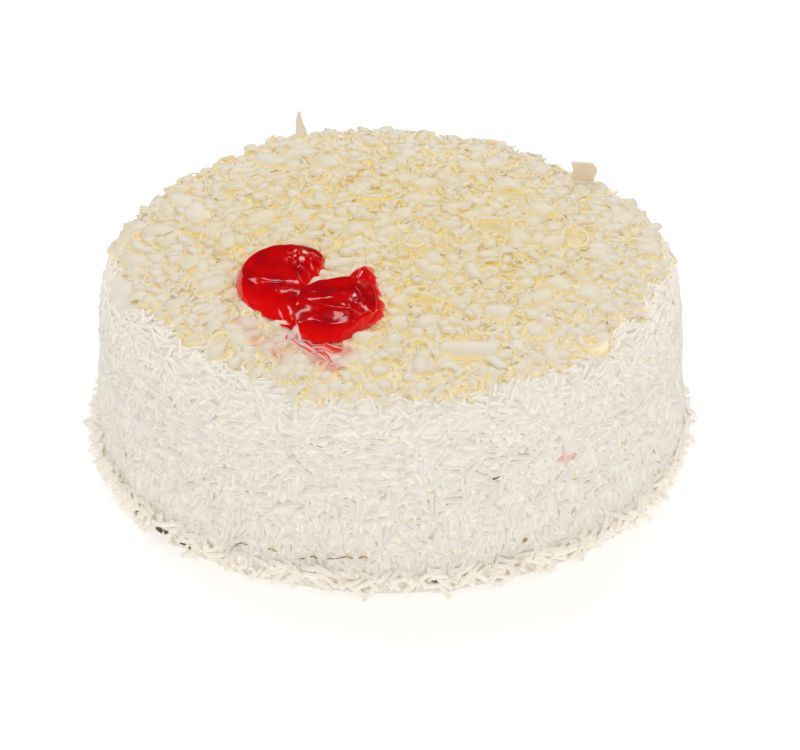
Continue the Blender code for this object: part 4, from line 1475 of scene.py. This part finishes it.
def place_kind(name, points, ground, faces, traits, draw):
    """One mesh for all pieces of a kind, with the depth, tone and stain of each point. The depth paints shade
    into hollows, down the flanks and inside the curls, and the tone paints a highlight on the thin rims.
    """
    each = points.shape[1]
    wrapped, rim = traits
    outer = rim_share(points)
    flank = np.clip((points[..., 2].max(axis=1, keepdims=True) - points[..., 2]) / FLANK_HEIGHT, 0.0, 1.0)
    depth = depth_in_heap(points, ground) + FLANK_PAINTED_SHADE * flank + WRAPPED_PAINTED_SHADE * wrapped
    tone = OWN_TONE * draw.uniform(size=(len(points), 1)) + RIM_PAINTED_HIGHLIGHT * rim + OUTER_TONE * outer
    piece = make_piece(name, points.reshape(-1, 3), [repeated(faces, len(points), each)], SHAVINGS,
                       depth=np.clip(depth, 0.0, 1.0), tone=np.clip(tone, 0.0, 1.0), stain=juice(points))
    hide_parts("shavings")


def make_shavings():
    draw = np.random.default_rng(5)
    kinds, traits = {}, {}
    for name, kind in KINDS.items():
        kinds[name], traits[name] = loose_kind(draw, kind)
    kinds["crumbs"] = crumb_points(draw, CRUMBS)
    traits["crumbs"] = (0.0, 0.0)
    faces = {name: pillow_faces(len(kind["along"]), len(kind["across"])) for name, kind in KINDS.items()}
    faces["crumbs"] = crumb_faces()
    large, traits["large"], rises, taken = large_shavings(draw)
    ground = drop_all(draw, kinds, large, rises, taken)
    faces["large"] = pillow_faces(len(LARGE_ALONG), len(LARGE_ACROSS))
    kinds["large"] = large
    for name, points in kinds.items():
        place_kind(name, points, ground, faces[name], traits[name], draw)
    # The standing ones count as rim all over, so the rims' painted highlight lies on all of them.
    place_kind("standing", standing_shavings(draw), ground, faces["large"], (0.0, 1.0), draw)
    heights = ground[top_cells(np.zeros(1), np.zeros(1))]
    print("the heap stands", round(float(heights[0]) / MM, 1), "mm high in the middle")
    return ground


heap_ground = make_shavings()

# %% [markdown]
# Crumbs finer than rice fill the heap between the shavings. They are relief on one continuous surface: it takes
# the height map that the drop left behind, smooths it over a few millimetres, goes down by a little and grows
# grains. So it shows only as a grainy floor in the gaps, which its depth paints golden as shade, and closes
# every deep hole.

# %% Fine crumbs between the shavings
CORE_RINGS = 118
CORE_TURN = 560
CRUMBS_BELOW = 0.8 * MM
CORE_INSET = 1.5 * MM
CORE_SUNK = 0.6 * MM


def read_map(values, x, y):
    """Height between the middles of four cells, as the mean of the four by how near each one is."""
    column = (x + TOP_HALF) / TOP_CELL - 0.5
    row = (y + TOP_HALF) / TOP_CELL - 0.5
    first, second = np.floor(column).astype(int), np.floor(row).astype(int)
    to_next, to_far = column - first, row - second
    near = values[first, second] * (1.0 - to_next) + values[first + 1, second] * to_next
    far = values[first, second + 1] * (1.0 - to_next) + values[first + 1, second + 1] * to_next
    return near * (1.0 - to_far) + far * to_far


def crumb_floor(x, y):
    """The smoothed heap less a set depth, with grains 2 mm apart, and no lower than the bare core."""
    places = np.stack((x, y), axis=-1)
    grains = 0.22 * MM * ripples(places, 2.4 * MM, 43) + 0.12 * MM * ripples(places, 1.3 * MM, 44)
    return np.maximum(read_map(blurred(heap_ground, 2), x, y) - CRUMBS_BELOW + grains, core_top(x, y))


def make_core():
    share, angle = np.meshgrid(np.linspace(1.0, 0.005, CORE_RINGS),
                               np.linspace(0.0, 2.0 * math.pi, CORE_TURN, endpoint=False), indexing="ij")
    radius = share * (heap_edge(angle) - CORE_INSET)
    x, y = radius * np.cos(angle), radius * np.sin(angle)
    over = np.stack((x, y, crumb_floor(x, y)), axis=-1)
    rim = over[0].copy()
    rim[:, 2] = cream_top(np.hypot(rim[:, 0], rim[:, 1])) - CORE_SUNK
    points = np.vstack((rim, over.reshape(-1, 3), (0.0, 0.0, over[-1, :, 2].mean()),
                        (0.0, 0.0, WALL_TOP + SHOULDER - CORE_SUNK)))
    # Its depth paints the shade of the gaps golden and gives the deepest a painted glow.
    return make_piece("heap_core", points, closed_rings(CORE_RINGS + 1, CORE_TURN), SHAVINGS,
                      depth=depth_in_heap(points, heap_ground), tone=rim_share(points), stain=juice(points))


heap_core = make_core()
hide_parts("shavings")

# %% [markdown]
# The jelly was spooned on and slumped into a hook: a smooth left lobe that bends round to the front, and a
# darker right lobe that came down on it, so a sharp crease runs between them. A thin film spread out behind the
# right lobe, and at the front smears of jelly and cream were drawn over the shavings. Each of these is a strip
# with two sides, both smooth curves through a few measured places. Between them, at each step along the strip,
# the surface rises as a full hump and comes down again, and a nearly flat underside closes it. Jelly that was
# cut by a spoon keeps flat facets, so the hump is cut down by a few tilted planes. Folds run over it as low
# sharp lines.

# %% Jelly
# Each station has one side, the other side and the height above the heap, all in millimetres.
LEFT_LOBE = (
    ((-20.5, -16.0), (-21.5, -21.5), 3.2),
    ((-26.0, -11.0), (-23.0, -26.5), 5.4),
    ((-35.0, -9.8), (-26.0, -31.5), 7.4),
    ((-44.0, -13.5), (-28.0, -35.5), 8.4),
    ((-50.0, -22.0), (-27.0, -39.5), 9.0),
    ((-50.9, -31.0), (-24.0, -43.5), 9.0),
    ((-48.6, -41.0), (-21.0, -46.5), 8.6),
    ((-41.2, -50.5), (-17.0, -48.5), 7.8),
    ((-32.0, -59.6), (-14.5, -50.0), 6.6),
    ((-24.0, -64.0), (-13.0, -52.0), 4.4),
)
RIGHT_LOBE = (
    ((-30.5, -58.5), (-30.0, -51.0), 5.0),
    ((-29.5, -64.0), (-28.0, -43.5), 9.0),
    ((-24.0, -67.6), (-23.5, -38.8), 12.0),
    ((-17.5, -68.2), (-18.0, -36.6), 13.0),
    ((-11.5, -64.8), (-12.0, -36.4), 12.5),
    ((-6.8, -59.5), (-6.5, -39.0), 10.5),
    ((-3.8, -54.5), (-4.0, -45.0), 6.0),
)
FILM = (
    ((-17.0, -35.5), (-15.0, -31.0), 0.7),
    ((-13.5, -38.0), (-10.4, -21.5), 1.7),
    ((-10.5, -40.0), (-6.9, -21.0), 2.0),
    ((-9.5, -44.0), (-4.4, -28.5), 1.9),
    ((-9.5, -50.0), (-3.0, -38.0), 1.8),
    ((-9.5, -56.0), (-1.6, -50.0), 1.6),
    ((-9.5, -60.0), (-4.0, -58.0), 0.8),
)
# Smears of jelly and cream in front: both ends, the half width at each, the height and the share of cream.
SMEARS = (
    ((-30.6, -61.2), (-27.0, -66.2), 1.4, 1.9, 4.8, 1.0),
    ((-33.0, -61.5), (-22.5, -71.0), 2.0, 3.2, 1.4, 0.68),
    ((-26.5, -66.5), (-14.5, -71.0), 3.0, 2.0, 1.4, 0.52),
    ((-23.0, -70.0), (-17.5, -78.0), 2.2, 1.0, 0.9, 0.60),
)
# Facets: a place on the plane, its height there, and how steeply it falls to the front and to the left, in
# millimetres and degrees.
LEFT_FACETS = (
    (-36.0, -22.0, 6.8, 2, 4),
    (-33.0, -44.0, 5.8, 12, -4),
    (-46.0, -36.0, 5.2, 23, 14),
    (-40.0, -52.0, 3.6, 27, 14),
)
RIGHT_FACETS = (
    (-17.0, -46.0, 7.8, 2, 0),
    (-20.0, -59.0, 5.9, 16, 3),
    (-22.0, -64.5, 4.0, 45, 6),
    (-9.0, -55.0, 5.6, 8, -24),
)
# Folds: the two ends of a line, its height (a valley is below zero) and its half width, in millimetres.
LEFT_FOLDS = (
    ((-44.0, -39.0), (-52.0, -31.0), 0.7, 0.9),
    ((-44.0, -40.0), (-53.0, -38.0), 0.6, 0.8),
    ((-43.0, -42.0), (-50.0, -47.0), 0.6, 0.9),
    ((-42.0, -38.0), (-30.0, -41.0), -0.6, 1.2),
    ((-41.0, -44.0), (-37.0, -55.0), 0.5, 1.1),
    ((-32.8, -51.0), (-28.6, -64.0), 0.9, 1.4),
    ((-36.0, -48.0), (-31.0, -61.0), -0.5, 1.0),
    ((-34.0, -12.0), (-29.0, -28.0), 0.4, 1.3),
    ((-46.0, -24.0), (-38.0, -32.0), -0.4, 1.6),
    ((-39.0, -17.0), (-34.0, -31.0), 0.35, 1.5),
    ((-47.0, -33.0), (-43.0, -29.0), 0.5, 0.8),
    ((-39.0, -41.0), (-35.0, -46.0), 0.5, 0.8),
)
RIGHT_FOLDS = (
    ((-27.0, -53.0), (-12.0, -58.0), -0.7, 1.0),
    ((-26.0, -48.0), (-14.0, -51.0), 0.5, 1.0),
    ((-24.0, -62.5), (-12.0, -66.5), 0.6, 1.2),
    ((-13.0, -42.0), (-8.0, -52.0), 0.7, 1.2),
    ((-20.0, -64.0), (-16.0, -69.0), -0.6, 1.2),
)
FILM_FOLDS = (
    ((-12.0, -35.0), (-8.0, -21.0), 0.8, 1.0),
    ((-8.5, -34.0), (-3.0, -48.0), 0.5, 0.9),
)
# Places where the jelly was torn into fine glittering beads: middle and radius.
GLITTER = ((-29.0, -24.0, 7.5), (-24.0, -29.0, 4.0), (-9.5, -55.5, 5.0))
JELLY_BED = 71.4 * MM
FILM_BED = 72.4 * MM
SMEAR_SUNK = 0.5 * MM
MELT = 0.22 * MM
BEAD = 1.7 * MM
BEAD_RISE = 0.26 * MM


def lowest(surfaces):
    """The lowest of several heights, with the edges between them melted round."""
    total = sum(np.exp(-height / MELT) for height in surfaces)
    return -MELT * np.log(total)


def plane_height(plan, facet):
    """Height of a tilted plane over each place."""
    x, y, height, to_front, to_left = facet
    rise = math.tan(math.radians(to_front)) * (plan[..., 1] - y * MM)
    return height * MM + rise + math.tan(math.radians(to_left)) * (plan[..., 0] - x * MM)


def fold_height(plan, fold):
    """A sharp ridge or valley: its height falls off with the distance from the line and fades at both ends."""
    start, end = np.array(fold[0]) * MM, np.array(fold[1]) * MM
    share, away = off_line(plan - start, end - start)
    return fold[2] * MM * np.exp(-away / (fold[3] * MM)) * np.sin(math.pi * (0.1 + 0.8 * share))


def glitter_share(plan):
    """1 in the middle of a glittering place, 0 outside its radius."""
    share = np.zeros(plan.shape[:-1])
    for x, y, radius in GLITTER:
        away = np.hypot(plan[..., 0] - x * MM, plan[..., 1] - y * MM)
        share = np.maximum(share, smooth_step(1.6 - 1.6 * away / (radius * MM)))
    return share


def smooth_rows(values, count):
    """Reads a smooth curve through rows of values at evenly spaced shares of its length."""
    rows = np.asarray(values, dtype=float)
    extended = np.vstack((2 * rows[0] - rows[1], rows, 2 * rows[-1] - rows[-2]))
    place = np.linspace(0.0, len(rows) - 1.0, count)
    start = np.minimum(place.astype(int), len(rows) - 2)
    t = (place - start)[:, None]
    before, here, after, later = (extended[start + step] for step in range(4))
    return 0.5 * (2 * here + (after - before) * t + (2 * before - 5 * here + 4 * after - later) * t ** 2
                  + (3 * here - before - 3 * after + later) * t ** 3)


def strip_plan(stations, long, wide, seed):
    """Places of the strip seen from above, its height at each step along it, and the shares across and at the
    ends. The edge strays sideways a little."""
    table = np.array([first + second + (height,) for first, second, height in stations]) * MM
    rows = smooth_rows(table, long)
    across = np.sin(np.linspace(-1.0, 1.0, wide) * math.pi / 2.0)
    share = np.linspace(0.0, 1.0, long)
    ends = np.sqrt(np.clip(1.0 - np.abs(2.0 * share - 1.0) ** 14, 0.0, 1.0))
    middle = 0.5 * (rows[:, 0:2] + rows[:, 2:4])
    half = 0.5 * (rows[:, 2:4] - rows[:, 0:2]) * (0.25 + 0.75 * ends)[:, None]
    plan = middle[:, None] + half[:, None] * across[None, :, None]
    stray = np.stack((ripples(plan, 6 * MM, seed), ripples(plan, 6 * MM, seed + 1)), axis=-1)
    return plan + 0.4 * MM * stray * np.abs(across)[None, :, None] ** 4, rows[:, 4], across, ends


def strip_heights(plan, tall, hump, strip, seed):
    """Height = station height times the hump, cut by the facets, plus folds, ripples and beads."""
    height = lowest([tall[:, None] * hump] + [plane_height(plan, facet) for facet in strip["facets"]])
    height = height + hump * sum((fold_height(plan, fold) for fold in strip["folds"]), 0.0)
    relief = 0.2 * MM * ripples(plan, 9 * MM, seed + 2) + 0.04 * MM * ripples(plan, 4 * MM, seed + 3)
    beads = BEAD_RISE * ripples(plan, BEAD, seed + 4) * glitter_share(plan)
    return np.maximum(height + hump * (relief + beads), 0.0)


def strip_traits(plan, height, hump, across, strip, seed):
    """For each point: how full the jelly stands, how dark it is as a whole, in patches, and how torn or mixed
    with cream it is, in streaks along the strip."""
    full = hump * np.clip(height / (5.0 * MM), 0.0, 1.0)
    wine = np.clip(strip["wine"] + 0.45 * ripples(plan, 10 * MM, seed + 6), 0.0, 1.0)
    steps = np.linspace(0.0, 1.0, len(plan))
    lanes = np.stack(np.broadcast_arrays(across[None], 0.5 * steps[:, None]), axis=-1)
    streaks = strip["cream"] * (0.9 + 0.4 * ripples(lanes, 0.45, seed + 5))
    # At the glittering places the torn share makes the jelly paler and pinker in patches: partly torn jelly
    # with cream under it, partly a painted highlight for the whitish glints among the beads.
    shreds = smooth_step(2.5 * ripples(plan, 3.2 * MM, seed + 7) - 1.0)
    torn = np.clip(0.75 * shreds * glitter_share(plan) + strip["edge"] * (1.0 - hump) + streaks, 0.0, 1.0)
    return full, wine, torn


def strip_piece(name, strip, bed, size, seed):
    """A closed strip on its bed, which is one height, or without one the smoothed heap, a little sunk in."""
    plan, tall, across, ends = strip_plan(strip["stations"], *size, seed)
    if bed is None:
        bed = read_map(blurred(heap_ground, 1), plan[..., 0], plan[..., 1]) - SMEAR_SUNK
    hump = ((1.0 - np.abs(across) ** 3) ** 0.7)[None] * ends[:, None]
    height = strip_heights(plan, tall, hump, strip, seed)
    over = np.concatenate((plan, (bed + height)[..., None]), axis=-1)
    under = over[1:-1, 1:-1].copy()
    under[..., 2] -= height[1:-1, 1:-1] + 1.2 * MM * hump[1:-1, 1:-1]
    points = np.vstack((over.reshape(-1, 3), under.reshape(-1, 3)))
    traits = strip_traits(plan, height, hump, across, strip, seed)
    full, wine, torn = (np.concatenate((share.ravel(), share[1:-1, 1:-1].ravel())) for share in traits)
    piece = make_piece(name, points, [pillow_faces(*size)], JELLY, full=full, wine=wine, torn=torn)
    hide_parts("cherry_jelly")


print("jelly strips have", [len(strip) for strip in (LEFT_LOBE, RIGHT_LOBE, FILM)], "stations")

# %% [markdown]
# Jelly takes nearly all green and blue out of the light, the more the thicker it stands, so its thin edges are
# bright red and its full body a deep one. Where it was torn, cream shows through and it is pinker, and at the
# glittering places these paler patches also paint the whitish glints. Its skin is wet: a clear coat gives one
# sharp reflection, which the facets, folds and beads break up.

# %% Material and pieces of the jelly
JELLY_THIN = (0.86, 0.002, 0.002, 1.0)
JELLY_FULL = (0.64, 0.0, 0.001, 1.0)
JELLY_WINE = (0.42, 0.0, 0.004, 1.0)
JELLY_TORN = (0.88, 0.07, 0.06, 1.0)
JELLY_CREAM = (0.87, 0.72, 0.67, 1.0)


def jelly_material():
    """Full jelly, thin jelly, torn jelly and jelly with cream follow one another."""
    material, tree, shader = new_material("cherry_jelly")
    place = object_place(tree)
    body = mix_colour(tree, read_attribute(tree, "wine"), JELLY_FULL, JELLY_WINE)
    full = map_range(tree, read_attribute(tree, "full"), 0.15, 0.75)
    colour = mix_colour(tree, full, JELLY_THIN, body)
    torn = read_attribute(tree, "torn")
    colour = mix_colour(tree, map_range(tree, torn, 0.0, 0.5), colour, JELLY_TORN)
    colour = mix_colour(tree, map_range(tree, torn, 0.5, 0.9), colour, JELLY_CREAM)
    mottled = add_group(tree, MOTTLE, Color=colour, Vector=place, Scale=180.0, Amount=0.4)
    tree.links.new(mottled.outputs["Color"], shader.inputs["Base Color"])
    fine = tree.nodes.new("ShaderNodeTexNoise")
    fine.inputs["Scale"].default_value = 420.0
    fine.inputs["Detail"].default_value = 2.0
    tree.links.new(place, fine.inputs["Vector"])
    add_bump(tree, shader, fine.outputs["Fac"], 0.25, 0.25 * MM)
    shader.inputs["Roughness"].default_value = 0.16
    shader.inputs["IOR"].default_value = 1.20
    shader.inputs["Coat Weight"].default_value = 0.6
    shader.inputs["Coat Roughness"].default_value = 0.03
    shader.inputs["Coat IOR"].default_value = 1.35
    return material


def smear_strip(start, end, first_half, last_half, height, cream):
    """A short strip of four stations along a straight run, which swells and thins again."""
    start, end = np.array(start), np.array(end)
    side = np.array((start[1] - end[1], end[0] - start[0])) / np.linalg.norm(end - start)
    stations = []
    for share, tall in ((0.0, 0.4), (0.33, 1.0), (0.66, 0.9), (1.0, 0.3)):
        middle = start + share * (end - start)
        half = first_half + share * (last_half - first_half)
        stations.append((tuple(middle - half * side), tuple(middle + half * side), tall * height))
    return {"stations": stations, "facets": (), "folds": (), "wine": 0.0, "cream": cream, "edge": 0.4}


JELLY = jelly_material()
LEFT_STRIP = {"stations": LEFT_LOBE, "facets": LEFT_FACETS, "folds": LEFT_FOLDS, "wine": 0.25, "cream": 0.0,
              "edge": 0.0}
RIGHT_STRIP = {"stations": RIGHT_LOBE, "facets": RIGHT_FACETS, "folds": RIGHT_FOLDS, "wine": 0.55, "cream": 0.0,
               "edge": 0.0}
FILM_STRIP = {"stations": FILM, "facets": (), "folds": FILM_FOLDS, "wine": 0.0, "cream": 0.0, "edge": 0.55}
strip_piece("left_lobe", LEFT_STRIP, JELLY_BED, (200, 80), 61)
strip_piece("right_lobe", RIGHT_STRIP, JELLY_BED, (110, 110), 71)
strip_piece("jelly_film", FILM_STRIP, FILM_BED, (90, 40), 81)
for number, facts in enumerate(SMEARS):
    strip_piece(f"smear_{number}", smear_strip(*facts), None, (60, 24), 91 + 7 * number)

# %% [markdown]
# The cake stands on a plain pale floor that isn't part of it.

# %% Floor
FLOOR_HALF = 6.0
FLOOR_GLOW = 0.22


def make_floor():
    corners = np.array(((-1, -1, 0), (1, -1, 0), (1, 1, 0), (-1, 1, 0))) * FLOOR_HALF
    material, tree, shader = new_material("pale_floor")
    shader.inputs["Base Color"].default_value = (1.0, 1.0, 1.0, 1.0)
    shader.inputs["Roughness"].default_value = 0.8
    shader.inputs["Emission Color"].default_value = (1.0, 1.0, 1.0, 1.0)
    shader.inputs["Emission Strength"].default_value = FLOOR_GLOW
    mesh = bpy.data.meshes.new("floor")
    mesh.from_pydata([tuple(corner) for corner in corners], [], [(0, 1, 2, 3)])
    mesh.materials.append(material)
    floor = bpy.data.objects.new("floor", mesh)
    bpy.context.collection.objects.link(floor)


make_floor()
